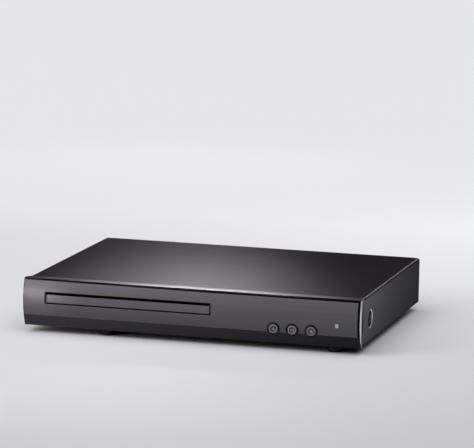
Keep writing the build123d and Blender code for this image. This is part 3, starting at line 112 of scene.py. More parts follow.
class Paint:
    """A material whose surface is one Principled shader."""

    def __init__(self, name, **constants):
        self.material = bpy.data.materials.new(name)
        self.material.use_nodes = True
        self.tree = self.material.node_tree
        self.shader = self.tree.nodes["Principled BSDF"]
        self.set(**constants)

    def feed(self, socket, value):
        """Link a value to a socket, or set it there if it is a constant."""
        if isinstance(value, Flow):
            self.tree.links.new(value.socket, socket)
        elif socket.type == "RGBA" and len(value) == 3:
            socket.default_value = (*value, 1.0)
        else:
            socket.default_value = value

    def set(self, **values):
        """Feed the shader's own sockets."""
        for name, value in values.items():
            self.feed(self.shader.inputs[name.replace("_", " ")], value)

    def node(self, kind, settings=None, inputs=None, out=0):
        """One node of any kind: its settings are made first, then its sockets are fed."""
        made = self.tree.nodes.new(kind)
        for name, value in (settings or {}).items():
            if name == "stops":
                while len(made.color_ramp.elements) < len(value):
                    made.color_ramp.elements.new(0.5)
                for element, (place, grey) in zip(made.color_ramp.elements, value):
                    element.position = place
                    element.color = (grey, grey, grey, 1.0)
            else:
                setattr(made, name, value)
        for key, value in (inputs or {}).items():
            self.feed(made.inputs[key], value)
        return Flow(self, made.outputs[out])

    def place(self):
        """Where a point lies on the object, in metres."""
        return self.node("ShaderNodeTexCoord", out="Object")

    def along(self, axis):
        """One coordinate of that place."""
        return self.node("ShaderNodeSeparateXYZ", inputs={0: self.place()}, out=axis)

    def facing(self, axis):
        """How much a face looks along an axis, from -1 to 1."""
        normal = self.node("ShaderNodeTexCoord", out="Normal")
        return self.node("ShaderNodeSeparateXYZ", inputs={0: normal}, out=axis)

    def math(self, operation, *values):
        """One Math node on any number of values."""
        return self.node("ShaderNodeMath", {"operation": operation}, dict(enumerate(values)))

    def grain(self, size, detail=2.0, stretch=(1, 1, 1)):
        """Soft noise from 0 to 1 whose lumps have about this size in metres."""
        place = self.node("ShaderNodeMapping", inputs={"Vector": self.place(), "Scale": stretch})
        inputs = {"Vector": place, "Scale": 1 / size, "Detail": detail}
        return self.node("ShaderNodeTexNoise", inputs=inputs)

    def ramp(self, value, *stops):
        """A value that runs through stops of (value, result)."""
        return self.node("ShaderNodeValToRGB", {"stops": stops}, {"Fac": value})

    def run(self, axis, start, length, *stops):
        """A ramp along an axis, whose stops count from 0 at the start to 1 at this length."""
        return self.ramp((self.along(axis) - start) * (1 / length), *stops)

    def mix(self, share, first, second):
        """A colour between two colours."""
        inputs = {0: share, 6: first, 7: second}
        return self.node("ShaderNodeMix", {"data_type": "RGBA"}, inputs, out=2)

    def shades(self, share, colour, darker, lighter):
        """A colour between two shades of itself."""
        return self.mix(share, scaled(colour, darker), scaled(colour, lighter))

    def colour(self):
        """The colour that the shader is fed with so far."""
        return Flow(self, self.shader.inputs["Base Color"].links[0].from_socket)

    def gloss(self):
        """The roughness that the shader is fed with so far."""
        return Flow(self, self.shader.inputs["Roughness"].links[0].from_socket)

    def vector(self, operation, first, second, out):
        """One Vector Math node."""
        inputs = {0: first, 1: second}
        return self.node("ShaderNodeVectorMath", {"operation": operation}, inputs, out)

    def reach(self, middle, across=(1, 1, 1)):
        """How far a point lies from a middle, where across keeps the directions to measure."""
        kept = self.vector("MULTIPLY", self.place(), across, "Vector")
        return self.vector("DISTANCE", kept, middle, "Value")

    def either(self, first, second):
        """A mask that is 1 where one of two masks is."""
        return self.math("MAXIMUM", first, second)

    def sideways(self, least=0.6):
        """A mask that is 1 on faces that look to the left or to the right."""
        return self.math("ABSOLUTE", self.facing("X")) > least

    def relief(self, height, depth, strength=1.0):
        """Small surface relief of this depth in metres."""
        inputs = {"Height": height, "Distance": depth, "Strength": strength}
        self.set(Normal=self.node("ShaderNodeBump", inputs=inputs))


def dress(slot, paint):
    """Give every solid of a record slot this finish."""
    for name in slot_nodes[slot]:
        for place in nodes[name].material_slots:
            place.material = paint.material
    print(slot, "on", ", ".join(slot_nodes[slot]))


# %% [markdown]
# Each solid of a node can be measured from its mesh. The mesh comes as loose triangles, so a copy
# is merged first and then walked through by its edges. This finds every screw and every chip
# without a list of places. The solids are sorted by place, so that they come in the same order at
# every run.

# %% Solids of a node
merge_distance = 0.001 * MM
sort_digits = 6


def corners(points):
    """The lowest and highest corner of some points."""
    low = Vector([min(point[i] for point in points) for i in range(3)])
    high = Vector([max(point[i] for point in points) for i in range(3)])
    return low, high


def lowest(solid):
    """A solid's lowest corner, rounded for sorting."""
    return tuple(round(value, sort_digits) for value in corners(solid)[0])


def solids_of(node):
    """The vertex places of each separate solid in a node."""
    shape = bmesh.new()
    shape.from_mesh(nodes[node].data)
    bmesh.ops.remove_doubles(shape, verts=shape.verts, dist=merge_distance)
    waiting = set(shape.verts)
    solids = []
    while waiting:
        reached = [waiting.pop()]
        solid = []
        while reached:
            vertex = reached.pop()
            solid.append(vertex.co.copy())
            for edge in vertex.link_edges:
                other = edge.other_vert(vertex)
                if other in waiting:
                    waiting.discard(other)
                    reached.append(other)
        solids.append(solid)
    shape.free()
    return sorted(solids, key=lowest)


for node in ("cover_screws", "chassis_screws", "main_chips"):
    print(node, "has", len(solids_of(node)), "solids")

# %% [markdown]
# The cover and the chassis are steel sheet with a black powder coat. The coat dries to a fine
# orange peel, which spreads highlights into a soft glow. A noise of about half a millimetre gives
# the peel, and a slow, wide noise varies the gloss a little, as handling does.

# %% Powder-coated steel
chassis_black = (0.02, 0.02, 0.021)
wear_size = 60 * MM
peel_depth = 0.006 * MM


def coated_steel(name, colour, gloss, peel_size):
    """A coat whose gloss follows its wear and its orange peel."""
    paint = Paint(name, Specular_IOR_Level=0.04)
    wear = paint.grain(wear_size, 3.0)
    peel = paint.grain(peel_size, 3.0)
    paint.set(Base_Color=paint.shades(wear, colour, 0.85, 1.2))
    paint.set(Roughness=gloss + 0.06 * wear + 0.04 * peel)
    paint.relief(peel, peel_depth, 0.5)
    return paint


dress("black_chassis", coated_steel("chassis black coat", chassis_black, 0.45, 0.7 * MM))

# %% [markdown]
# The cover has the same coat and a little more. Where a screw's dimple is pressed into each side,
# a bright crescent round its rim is a painted highlight: a pale, half metallic ring stands for
# the light that the rim catches, and the dimple itself is matt. The sides also lose gloss towards
# the rear. At a low angle a glossy side mirrors the pale floor and a matt one doesn't, so the
# gloss alone shades the side from light to dark.

# %% Pressed cover
cover_black = (0.012, 0.0098, 0.013)
cover_gloss = 0.36
cover_peel = 0.5 * MM
painted_rim_highlight = (0.7, 0.69, 0.71)
dimple_rim = 7.4 * MM
rim_highlight_width = 0.9 * MM
rim_highlight_past = 0.1 * MM
dimple_matt = 0.6
side_screw_reach = 60 * MM
side_fade = 200 * MM
side_polish = 0.15
side_matt = 0.37


def pressed_cover():
    """The coat, a painted highlight round each dimple, and sides that turn matt to the rear."""
    paint = coated_steel("satin black coat", cover_black, cover_gloss, cover_peel)
    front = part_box("top_cover")[0].y
    boxes = [corners(solid) for solid in solids_of("cover_screws")]
    low, high = next(box for box in boxes if box[1].y < front + side_screw_reach)
    middle = (0.0, (low.y + high.y) / 2, (low.z + high.z) / 2)
    far = paint.reach(middle, (0, 1, 1))
    dimple = far < dimple_rim - rim_highlight_width
    rim = (far < dimple_rim + rim_highlight_past) * (far > dimple_rim - rim_highlight_width)
    rearward = paint.run("Y", front, side_fade, (0.0, 0.0), (1.0, 1.0))
    shading = paint.sideways() * (side_matt * rearward - side_polish)
    # painted highlight: a pale, half metallic ring on each dimple's rim stands for the light it
    # catches
    paint.set(Base_Color=paint.mix(rim, paint.colour(), painted_rim_highlight), Metallic=0.5 * rim)
    paint.set(Roughness=paint.gloss() + shading + dimple_matt * dimple)
    return paint


dress("satin_black_steel", pressed_cover())

# %% [markdown]
# The front moulding is polished black plastic. Its colour is close to nothing, so what shows is
# the reflection: a low roughness with faint wiping marks that run along the panel.

# %% Polished moulding
wiping_size = 9 * MM
polish_size = 0.4 * MM
polish_depth = 0.001 * MM
polish_tint = (1.0, 0.92, 1.05)


def polished_moulding(name, colour, gloss):
    """Glossy plastic with faint wiping marks along X."""
    paint = Paint(name, Specular_IOR_Level=0.45, Specular_Tint=polish_tint)
    wiping = paint.grain(wiping_size, 4.0, (0.25, 1, 1))
    paint.set(Base_Color=paint.shades(wiping, colour, 0.8, 1.25))
    paint.set(Roughness=gloss + 0.05 * wiping)
    paint.relief(paint.grain(polish_size, 1.0), polish_depth, 0.3)
    return paint


# %% [markdown]
# On the front panel this plastic is set off by four masks, made from a point's place and from
# where its face looks. The front edge of each end face carries a painted highlight, a bright line
# for the light that the edge catches. The top ledge is more matt than the rest. The round between
# the ledge and the fascia is painted shade, a dead black line that grows from the left, and the
# band below the fascia is shaded to black towards the right, also painted shade. A black that
# even edge light can't brighten is made as a metal with almost no colour.

# %% Front panel
panel_low, panel_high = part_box("front_panel")
fascia_low, fascia_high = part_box("front_fascia")
panel_black = (0.008, 0.0075, 0.009)
panel_gloss = 0.17
painted_shade_black = (0.004, 0.004, 0.0045)
edge_highlight_colour = (0.9, 0.89, 0.91)
edge_highlight_depth = 3.8 * MM
lip_height = 1.6 * MM
ledge_level = 0.985
ledge_haze = 0.18
growth_length = 150 * MM
least_share = 0.2
band_overlap = 1 * MM
band_shade_start = -90 * MM
band_shade_length = 215 * MM
band_shade_share = 0.62


def growth(paint):
    """A share that grows from the left end towards the middle, for the painted shade lines."""
    return paint.run("X", panel_low.x, growth_length, (0.0, least_share), (1.0, 1.0))


def moulding_with_painted_light():
    """The polished panel: painted edge highlight, ledge, painted shade line, shaded band."""
    paint = polished_moulding("polished black", panel_black, panel_gloss)
    y, z = paint.along("Y"), paint.along("Z")
    sideways = paint.sideways()
    level = paint.facing("Z") > ledge_level
    # painted highlight: a bright, half metallic strip on the front edge of each end face
    edge_highlight = sideways * (y < panel_low.y + edge_highlight_depth)
    ledge = level * (z > panel_high.z - lip_height)
    # painted shade: a dead black line on the round above the fascia, growing from the left
    shade_line = (z > panel_high.z - lip_height * growth(paint)) * (1 - level) * (1 - sideways)
    band = (z < fascia_low.z + band_overlap) * (1 - sideways)
    # painted shade: the band turns metallic on near black towards the right, so its reflection dies
    fade = paint.run("X", band_shade_start, band_shade_length, (0.0, 0.0), (1.0, band_shade_share))
    highlighted = paint.mix(edge_highlight, paint.colour(), edge_highlight_colour)
    paint.set(Base_Color=paint.mix(shade_line, highlighted, painted_shade_black))
    paint.set(Metallic=0.5 * edge_highlight + shade_line + band * fade)
    paint.set(Roughness=paint.gloss() + ledge_haze * ledge)
    return paint


dress("gloss_black", moulding_with_painted_light())

# %% [markdown]
# A keycap is a grey ring round a darker dish: the pale ring is a painted highlight and the dark
# dish painted shade. The three keys stand at even steps, so their X is wrapped into one step and
# a single distance from the axis serves all of them.

# %% Keycaps
key_boxes = [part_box(f"{key}_button") for key in ("open", "play", "stop")]
key_xs = [(low.x + high.x) / 2 for low, high in key_boxes]
key_z = (key_boxes[0][0].z + key_boxes[0][1].z) / 2
key_step = key_xs[1] - key_xs[0]
key_grey = (0.155, 0.1488, 0.1587)
key_gloss = 0.3
painted_dish_shade = (0.025, 0.024, 0.027)
dish_rim = 2.5 * MM


def near_key(paint, radius):
    """A mask that is 1 within this radius of the nearest key's axis."""
    across = paint.math("WRAP", paint.along("X") - key_xs[0], key_step / 2, -key_step / 2)
    up = paint.along("Z") - key_z
    return across * across + up * up < radius**2


def keycap():
    """Grey plastic with a dish darkened as painted shade."""
    paint = polished_moulding("keycap grey", key_grey, key_gloss)
    # painted shade: the dish inside the rim is darker than the lit grey ring
    paint.set(Base_Color=paint.mix(near_key(paint, dish_rim), paint.colour(), painted_dish_shade))
    return paint


dress("key_black", keycap())

# %% [markdown]
# The fascia and the tray front carry a gunmetal lacquer over a fine horizontal brushing. Noise
# that is stretched a hundred times along the panel turns into hair lines. They move the colour,
# the gloss and the relief together, because a real scratch does all three. Towards the foot of
# the fascia the lacquer is darkened as painted shade. A little before the right end and along the
# top edge its colour is dead black, painted shade for the dark line there.

# %% Brushed gunmetal lacquer
hair_size = 0.45 * MM
hair_stretch = (0.008, 1, 1)
hair_depth = 0.012 * MM
cloud_size = 45 * MM
foot_shade_share = 0.75
foot_shade = 0.6
end_shade_width = 1.1 * MM
top_shade_height = 0.9 * MM


def brushed_gunmetal(name, colour, shade_rims):
    """The lacquer with painted shade at its foot, along its edges and on a function's mask."""
    paint = Paint(name, Specular_IOR_Level=0.35)
    hair = paint.grain(hair_size, 4.0, hair_stretch)
    cloud = paint.grain(cloud_size, 2.0)
    tall = fascia_high.z - fascia_low.z
    # painted shade: the colour darkens towards the foot of the fascia
    foot = paint.run("Z", fascia_low.z, tall, (0.1, foot_shade_share), (0.7, 0.0))
    lacquer = paint.shades(0.7 * hair + 0.3 * cloud, colour, 0.78, 1.22)
    lacquer = paint.mix(foot, lacquer, scaled(colour, foot_shade))
    x, z = paint.along("X"), paint.along("Z")
    top = z > fascia_high.z - top_shade_height * growth(paint)
    # painted shade: dead black at the right end and along the top edge, where a shadow line runs
    painted_shade = paint.either(x > fascia_high.x - end_shade_width, top)
    painted_shade = paint.either(painted_shade, shade_rims(paint, x, z))
    paint.set(Base_Color=paint.mix(painted_shade, lacquer, painted_shade_black), Metallic=0.35 + 0.65 * painted_shade)
    paint.set(Roughness=0.36 + 0.14 * hair)
    paint.relief(hair, hair_depth, 0.4)
    return paint


# %% [markdown]
# The edges of the openings are dead black too, painted shade for the shadow in their gaps. On the
# fascia this black rim is painted round the tray slot, wider above it, and round each key recess,
# and on the tray front along its upper edge. Each rim is a mask, so it needs no faces of its own.

# %% Fascia and tray front
gunmetal = (0.095, 0.09, 0.0985)
bar_lighter = 1.18
bar_low, bar_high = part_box("tray_front")
end_shade_rim = 0.95 * MM
upper_shade_rim = 1.9 * MM
lower_shade_rim = 0.8 * MM
bar_shade_rim = 0.5 * MM
key_shade_rim = 5.15 * MM


def opening_shade_rims(paint, x, z):
    """A painted shade mask round the tray slot and the key recesses."""
    across = (x > bar_low.x - end_shade_rim) * (x < bar_high.x + end_shade_rim)
    slot = across * (z > bar_low.z - lower_shade_rim) * (z < bar_high.z + upper_shade_rim)
    keys = (x > key_xs[0] - key_step / 2) * (x < key_xs[-1] + key_step / 2)
    return paint.either(slot, keys * near_key(paint, key_shade_rim))


def bar_edge_shade(paint, x, z):
    """A painted shade mask along the tray front's upper edge."""
    return z > bar_high.z - bar_shade_rim


# The tray front gets a lighter copy of the lacquer, to make up for the painted shade at the foot.
bar_grey = scaled(gunmetal, bar_lighter)
dress("gunmetal", brushed_gunmetal("gunmetal lacquer", bar_grey, bar_edge_shade))
rimmed = brushed_gunmetal("gunmetal lacquer with painted rim shade", gunmetal, opening_shade_rims)
for place in nodes["front_fascia"].material_slots:
    place.material = rimmed.material
    print("front_fascia has", rimmed.material.name)

# %% [markdown]
# The sensor window is a clear light guide that looks milky from the front. The feet and the belt
# are rubber: very rough, a little dusty on the faces that look up.

# %% Window and rubber
window_grey = (0.29, 0.295, 0.31)
window_pale = (0.4, 0.405, 0.42)
dust_tint = (3.0, 2.9, 2.7)


def milky_window():
    """Clear plastic that looks milky."""
    paint = Paint("milky light guide", Coat_Weight=0.6, IOR=1.49)
    cloud = paint.grain(0.9 * MM, 2.0)
    paint.set(Base_Color=paint.mix(cloud, window_grey, window_pale))
    paint.set(Roughness=0.18 + 0.1 * cloud)
    return paint


def rubber(name, shade):
    """Rough black with dust on top."""
    paint = Paint(name, Specular_IOR_Level=0.3)
    fine = paint.grain(0.35 * MM, 3.0)
    dust = paint.ramp(paint.facing("Z"), (0.2, 0.0), (1.0, 1.0)) * paint.grain(5 * MM, 3.0)
    paint.set(Base_Color=paint.mix(dust, (shade, shade, shade), scaled(dust_tint, shade)))
    paint.set(Roughness=0.72 + 0.2 * fine)
    paint.relief(fine, 0.03 * MM, 0.5)
    return paint


dress("clear_window", milky_window())
dress("foot_rubber", rubber("foot rubber", 0.012))
dress("belt_rubber", rubber("belt rubber", 0.018))

# %% [markdown]
# Inside, most pieces are moulded plastic. A mould is spark-eroded, so its parts have an even,
# pebbled grain. One function makes them all: the colour, the grain's size and the gloss differ,
# and fibre-filled plastic also gets short pale streaks.

# %% Moulded plastics
flow_size = 25 * MM
fibre_size = 0.6 * MM
fibre_lighter = 2.2
pebble_depth = 0.03 * MM


def moulded(name, colour, gloss, grain_size=0.25 * MM, streaks=0.0):
    """Plastic with a pebbled grain and, if asked, pale streaks along X."""
    paint = Paint(name, Specular_IOR_Level=0.45)
    pebble = paint.grain(grain_size, 2.0)
    base = paint.shades(paint.grain(flow_size, 2.0), colour, 0.88, 1.12)
    if streaks:
        fibre = paint.grain(fibre_size, 2.0, (0.2, 1, 1))
        fibre = paint.ramp(fibre, (0.62, 0.0), (0.75, streaks))
        base = paint.mix(fibre, base, scaled(colour, fibre_lighter))
    paint.set(Base_Color=base, Roughness=gloss + 0.12 * pebble)
    paint.relief(pebble, pebble_depth, 0.45)
    return paint


dress("tray_black", moulded("tray plastic", (0.017, 0.017, 0.018), 0.42))
dress("traverse_plastic", moulded("fibre-filled plastic", (0.05, 0.05, 0.055), 0.45, 0.3 * MM, 0.6))
dress("turntable_black", moulded("turntable plastic", (0.016, 0.016, 0.017), 0.5))
dress("natural_acetal", moulded("natural acetal", (0.72, 0.7, 0.64), 0.34, 0.6 * MM))
dress("chip_black", moulded("package black", (0.018, 0.018, 0.019), 0.5, 0.15 * MM))
dress("plug_white", moulded("natural nylon", (0.68, 0.66, 0.6), 0.4, 0.5 * MM))
dress("jack_orange", moulded("orange insulator", (0.72, 0.22, 0.02), 0.3, 0.4 * MM))
dress("jack_yellow", moulded("yellow insulator", (0.8, 0.56, 0.03), 0.3, 0.4 * MM))
dress("jack_white", moulded("white insulator", (0.76, 0.76, 0.73), 0.3, 0.4 * MM))
dress("jack_red", moulded("red insulator", (0.55, 0.02, 0.02), 0.3, 0.4 * MM))

# %% [markdown]
# Rods, shafts and shells are metal. Turned and drawn steel has fine marks; plating is smoother
# and warmer. Black oxide on the screws is metal too, but so dark that only its edges shine.

# %% Metals
stain_size = 12 * MM
mark_depth = 0.006 * MM


def metal(name, colour, gloss, marks=(1, 1, 0.05), mark_size=0.3 * MM):
    """Metal with fine marks, drawn out along the axis with the smallest stretch."""
    paint = Paint(name, Metallic=1.0)
    line = paint.grain(mark_size, 3.0, marks)
    stain = paint.grain(stain_size, 3.0)
    paint.set(Base_Color=paint.shades(stain, colour, 0.86, 1.06))
    paint.set(Roughness=gloss + 0.12 * line + 0.06 * stain)
    paint.relief(line, mark_depth, 0.4)
    return paint


bright_steel = metal("bright steel", (0.58, 0.58, 0.58), 0.2)
nickel_plate = metal("nickel plate", (0.68, 0.66, 0.61), 0.12)
black_oxide = metal("black oxide", (0.035, 0.035, 0.037), 0.34)
dress("bare_steel", bright_steel)
dress("motor_steel", metal("zinc-plated can", (0.5, 0.5, 0.52), 0.28, (1, 1, 0.02)))
dress("nickel", nickel_plate)
dress("sink_aluminium", metal("extruded aluminium", (0.7, 0.7, 0.71), 0.3, (1, 0.02, 1)))
dress("screw_black", black_oxide)

# %% [markdown]
# The boards are green solder mask over copper. Straight tracks show as slightly lighter lines:
# two noises, each stretched along one axis and cut at a level, give runs in both directions
# without drawing any of them.

# %% Circuit boards
mask_green = (0.012, 0.075, 0.03)
track_green = (0.03, 0.16, 0.06)
track_depth = 0.03 * MM


def solder_mask():
    """Green coat with lighter tracks in two directions."""
    paint = Paint("green solder mask", Coat_Weight=0.4, Specular_IOR_Level=0.5)
    across = paint.ramp(paint.grain(1.6 * MM, 0.0, (0.06, 1, 1)), (0.56, 0.0), (0.58, 1.0))
    down = paint.ramp(paint.grain(1.9 * MM, 0.0, (1, 0.06, 1)), (0.58, 0.0), (0.6, 1.0))
    track = paint.either(across, down)
    paint.set(Base_Color=paint.mix(track, mask_green, track_green))
    paint.set(Roughness=0.3 + 0.12 * paint.grain(3 * MM))
    paint.relief(track, track_depth, 0.5)
    return paint


dress("board_green", solder_mask())

# %% [markdown]
# Capacitors wear a shrunk sleeve round the can and show bare aluminium on top, so the finish
# looks at where a face points. The lens unit does the same by place: a coated glass disc in a
# black holder.

# %% Capacitor sleeves and lens
can_aluminium = (0.62, 0.62, 0.63)
glass_violet = (0.05, 0.02, 0.16)
lens_radius = 2.6 * MM
lens_lead = 8.8 * MM


def capacitor_sleeve():
    """A dark blue sleeve with a metal top."""
    paint = Paint("capacitor sleeve", Specular_IOR_Level=0.5)
    top = paint.facing("Z") > 0.9
    cloud = paint.grain(2 * MM, 2.0)
    sleeve = paint.mix(cloud, (0.012, 0.014, 0.03), (0.02, 0.024, 0.05))
    paint.set(Base_Color=paint.mix(top, sleeve, can_aluminium), Metallic=top)
    paint.set(Roughness=0.26 + 0.1 * cloud)
    return paint


def lens_finish():
    """Coated glass in a black holder."""
    paint = Paint("lens and holder", Specular_IOR_Level=0.6)
    low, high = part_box("lens_unit")
    glass = paint.reach(((low.x + high.x) / 2, low.y + lens_lead, high.z)) < lens_radius
    pebble = paint.grain(0.25 * MM)
    holder = paint.mix(pebble, (0.016, 0.016, 0.018), (0.03, 0.03, 0.034))
    paint.set(Base_Color=paint.mix(glass, holder, glass_violet), Coat_Weight=glass)
    paint.set(Roughness=0.45 - 0.38 * glass + 0.08 * pebble)
    return paint


dress("can_sleeve", capacitor_sleeve())
dress("lens_black", lens_finish())

# %% [markdown]
# The transformer has a dull ferrite core and a winding under yellow tape, whose turns show as
# shallow bands. The wires are shiny insulation.

# %% Transformer and wires
tape_scale = 120.0


def tape_winding():
    """Yellow tape with a band for each turn."""
    paint = Paint("yellow winding tape", Specular_IOR_Level=0.5)
    inputs = {"Vector": paint.place(), "Scale": tape_scale}
    band = paint.node("ShaderNodeTexWave", {"bands_direction": "Z"}, inputs)
    cloud = paint.grain(4 * MM, 2.0)
    paint.set(Base_Color=paint.mix(cloud, (0.62, 0.44, 0.05), (0.78, 0.58, 0.09)))
    paint.set(Roughness=0.3 + 0.15 * cloud)
    paint.relief(band, 0.08 * MM, 0.5)
    return paint


def ferrite():
    """Dull, speckled dark grey."""
    paint = Paint("ferrite", Specular_IOR_Level=0.4)
    speck = paint.grain(0.5 * MM, 4.0)
    paint.set(Base_Color=paint.mix(speck, (0.03, 0.03, 0.031), (0.075, 0.075, 0.078)))
    paint.set(Roughness=0.55 + 0.2 * speck)
    paint.relief(speck, 0.05 * MM, 0.5)
    return paint


dress("tape_yellow", tape_winding())
dress("ferrite", ferrite())
dress("wire_red", moulded("wire insulation", (0.42, 0.02, 0.02), 0.25, 0.8 * MM))

# %% [markdown]
# A screw's seat follows from its solid: the long axis is the one that differs from the other two,
# the head is the wide end, and its outer face is where the detailed screw goes.

# %% Screw seats
head_share = 0.9


def screw_seat(solid):
    """A screw's outer face middle, its outward direction and its head's radius."""
    low, high = corners(solid)
    size = high - low
    middle = (low + high) / 2
    axis = max(range(3), key=lambda i: abs(size[i] - (size[i - 1] + size[i - 2]) / 2))
    head = size[axis - 1] / 2
    lean = 0.0
    for point in solid:
        offset = point - middle
        if math.hypot(offset[axis - 1], offset[axis - 2]) > head_share * head:
            lean += offset[axis]
    sign = 1 if lean > 0 else -1
    outward = Vector((0, 0, 0))
    outward[axis] = sign
    seat = middle.copy()
    seat[axis] = high[axis] if sign > 0 else low[axis]
    return seat, outward, head


cover_seats = [screw_seat(solid) for solid in solids_of("cover_screws")]
chassis_seats = [screw_seat(solid) for solid in solids_of("chassis_screws")]
for seat, outward, head in cover_seats + chassis_seats:
    print("seat at", [round(v, 4) for v in seat], "head radius", round(head, 4))

# %% [markdown]
# A pan-head screw is a turned dome with a cross stamped in it. The CAD screw is a plain disc, so
# one detailed screw is modelled here and Geometry Nodes put it on every seat. Its body is a spun
# profile. A point of the profile that lies on the axis gives a ring of one vertex, which closes
# the shape.


# %% Turned shapes
def closed_mesh(shape, name):
    """The mesh of a closed shape, with its faces turned outwards."""
    bmesh.ops.recalc_face_normals(shape, faces=shape.faces)
    mesh = bpy.data.meshes.new(name)
    shape.to_mesh(mesh)
    shape.free()
    return mesh


def spin(profile, steps, name):
    """A closed turned shape from a profile of (radius, height) that starts and ends on the axis."""
    shape = bmesh.new()
    rings = []
    for radius, height in profile:
        count = steps if radius > 0 else 1
        ring = []
        for i in range(count):
            turn = 2 * math.pi * i / count
            ring.append(shape.verts.new((radius * math.cos(turn), radius * math.sin(turn), height)))
        rings.append(ring)
    for lower, upper in zip(rings, rings[1:]):
        for i in range(steps):
            quad = [lower[i % len(lower)], lower[(i + 1) % len(lower)]]
            quad += [upper[(i + 1) % len(upper)], upper[i % len(upper)]]
            shape.faces.new(list(dict.fromkeys(quad)))
    return closed_mesh(shape, name)


# %% [markdown]
# The recess in the head is cut by a tapered cross, because a dark decal would look flat from the
# side.

# %% A cross for the recess
foot_narrower = 0.45
cut_past = 0.2 * MM


def cross_cutter(arm, width, depth):
    """A tapered cross that is wider at its open end."""
    shape = bmesh.new()
    rings = []
    for height, share in ((-depth, foot_narrower), (cut_past, 1.0)):
        long = arm * share
        half = width / 2 * (0.6 + 0.4 * share)
        quarter = [(long, -half), (long, half), (half, half)]
        ring = []
        for i in range(4):
            turn = Matrix.Rotation(i * math.pi / 2, 2)
            ring += [shape.verts.new((*(turn @ Vector(p)), height)) for p in quarter]
        rings.append(ring)
    count = len(rings[0])
    shape.faces.new(reversed(rings[0]))
    shape.faces.new(rings[1])
    for i in range(count):
        j = (i + 1) % count
        shape.faces.new((rings[0][i], rings[0][j], rings[1][j], rings[1][i]))
    return closed_mesh(shape, "cross cutter")


# %% [markdown]
# A Boolean modifier does the cutting. Its result is read from the evaluated object, so what stays
# is a plain mesh without a modifier.

# %% One screw
head_height = 1.9 * MM
flat_share = 0.55
dome_share = 0.8
dome_steps = 6
shank_radius = 1.25 * MM
shank_length = 4.6 * MM
thread_pitch = 0.8 * MM
root_share = 0.82
recess_arm = 0.62
recess_width = 0.3
recess_depth = 1.1 * MM
screw_steps = 24
small_head = 2.8 * MM
large_head = 3.6 * MM


def new_object(name, data):
    """An object in the scene with this mesh, lamp or camera."""
    made = bpy.data.objects.new(name, data)
    bpy.context.scene.collection.objects.link(made)
    return made


def settled(made, name):
    """The evaluated mesh of an object, as a plain mesh."""
    bpy.context.view_layer.update()
    graph = bpy.context.evaluated_depsgraph_get()
    mesh = bpy.data.meshes.new_from_object(made.evaluated_get(graph))
    mesh.name = name
    return mesh


def screw_profile(head_radius):
    """Radius and height from the middle of the head down to the tip."""
    profile = [(0.0, 0.0)]
    for i in range(1, dome_steps + 1):
        lean = math.radians(90 * i / dome_steps)
        radius = head_radius * (flat_share + (1 - flat_share) * math.sin(lean))
        profile.append((radius, -dome_share * head_height * (1 - math.cos(lean))))
    profile += [(head_radius, -head_height), (shank_radius, -head_height)]
    for i in range(int(shank_length / thread_pitch)):
        top = -head_height - i * thread_pitch
        profile.append((shank_radius, top - 0.25 * thread_pitch))
        profile.append((root_share * shank_radius, top - 0.75 * thread_pitch))
    return profile + [(0.0, -head_height - shank_length)]


def screw_mesh(head_radius):
    """A screw whose outer face lies at height 0 and whose shank points down."""
    body = new_object("screw", spin(screw_profile(head_radius), screw_steps, "screw"))
    cross = cross_cutter(recess_arm * head_radius, recess_width * head_radius, recess_depth)
    cutter = new_object("cutter", cross)
    cut = body.modifiers.new("recess", "BOOLEAN")
    cut.object = cutter
    cut.solver = "EXACT"
    mesh = settled(body, "screw")
    bpy.data.objects.remove(body)
    bpy.data.objects.remove(cutter)
    return mesh


print("one screw has", len(screw_mesh(small_head).polygons), "faces")

# %% [markdown]
# The tree below is the same for screws and for chip leads: it puts a template on every point,
# turned by the point's own attribute. It ends in Realize Instances and Set Material, so that the
# result is a plain mesh.


# %% A tree that repeats a template
def repeat_tree():
    """The Geometry Nodes tree that repeats a template on points."""
    tree = bpy.data.node_groups.new("repeat on points", "GeometryNodeTree")
    face = tree.interface
    face.new_socket("Points", in_out="INPUT", socket_type="NodeSocketGeometry")
    face.new_socket("Template", in_out="INPUT", socket_type="NodeSocketObject")
    face.new_socket("Finish", in_out="INPUT", socket_type="NodeSocketMaterial")
    face.new_socket("Result", in_out="OUTPUT", socket_type="NodeSocketGeometry")
    add = tree.nodes.new
    start = add("NodeGroupInput")
    end = add("NodeGroupOutput")
    template = add("GeometryNodeObjectInfo")
    turn = add("GeometryNodeInputNamedAttribute")
    turn.data_type = "FLOAT_VECTOR"
    turn.inputs["Name"].default_value = "turn"
    place = add("GeometryNodeInstanceOnPoints")
    plain = add("GeometryNodeRealizeInstances")
    finish = add("GeometryNodeSetMaterial")
    link = tree.links.new
    link(start.outputs["Points"], place.inputs["Points"])
    link(start.outputs["Template"], template.inputs["Object"])
    link(template.outputs["Geometry"], place.inputs["Instance"])
    link(turn.outputs["Attribute"], place.inputs["Rotation"])
    link(place.outputs["Instances"], plain.inputs["Geometry"])
    link(plain.outputs["Geometry"], finish.inputs["Geometry"])
    link(start.outputs["Finish"], finish.inputs["Material"])
    link(finish.outputs["Geometry"], end.inputs["Result"])
    return tree


repeat = repeat_tree()
entries = [item for item in repeat.interface.items_tree if item.in_out == "INPUT"]
sockets = {item.name: item.identifier for item in entries}
smooth_angle = math.radians(35)


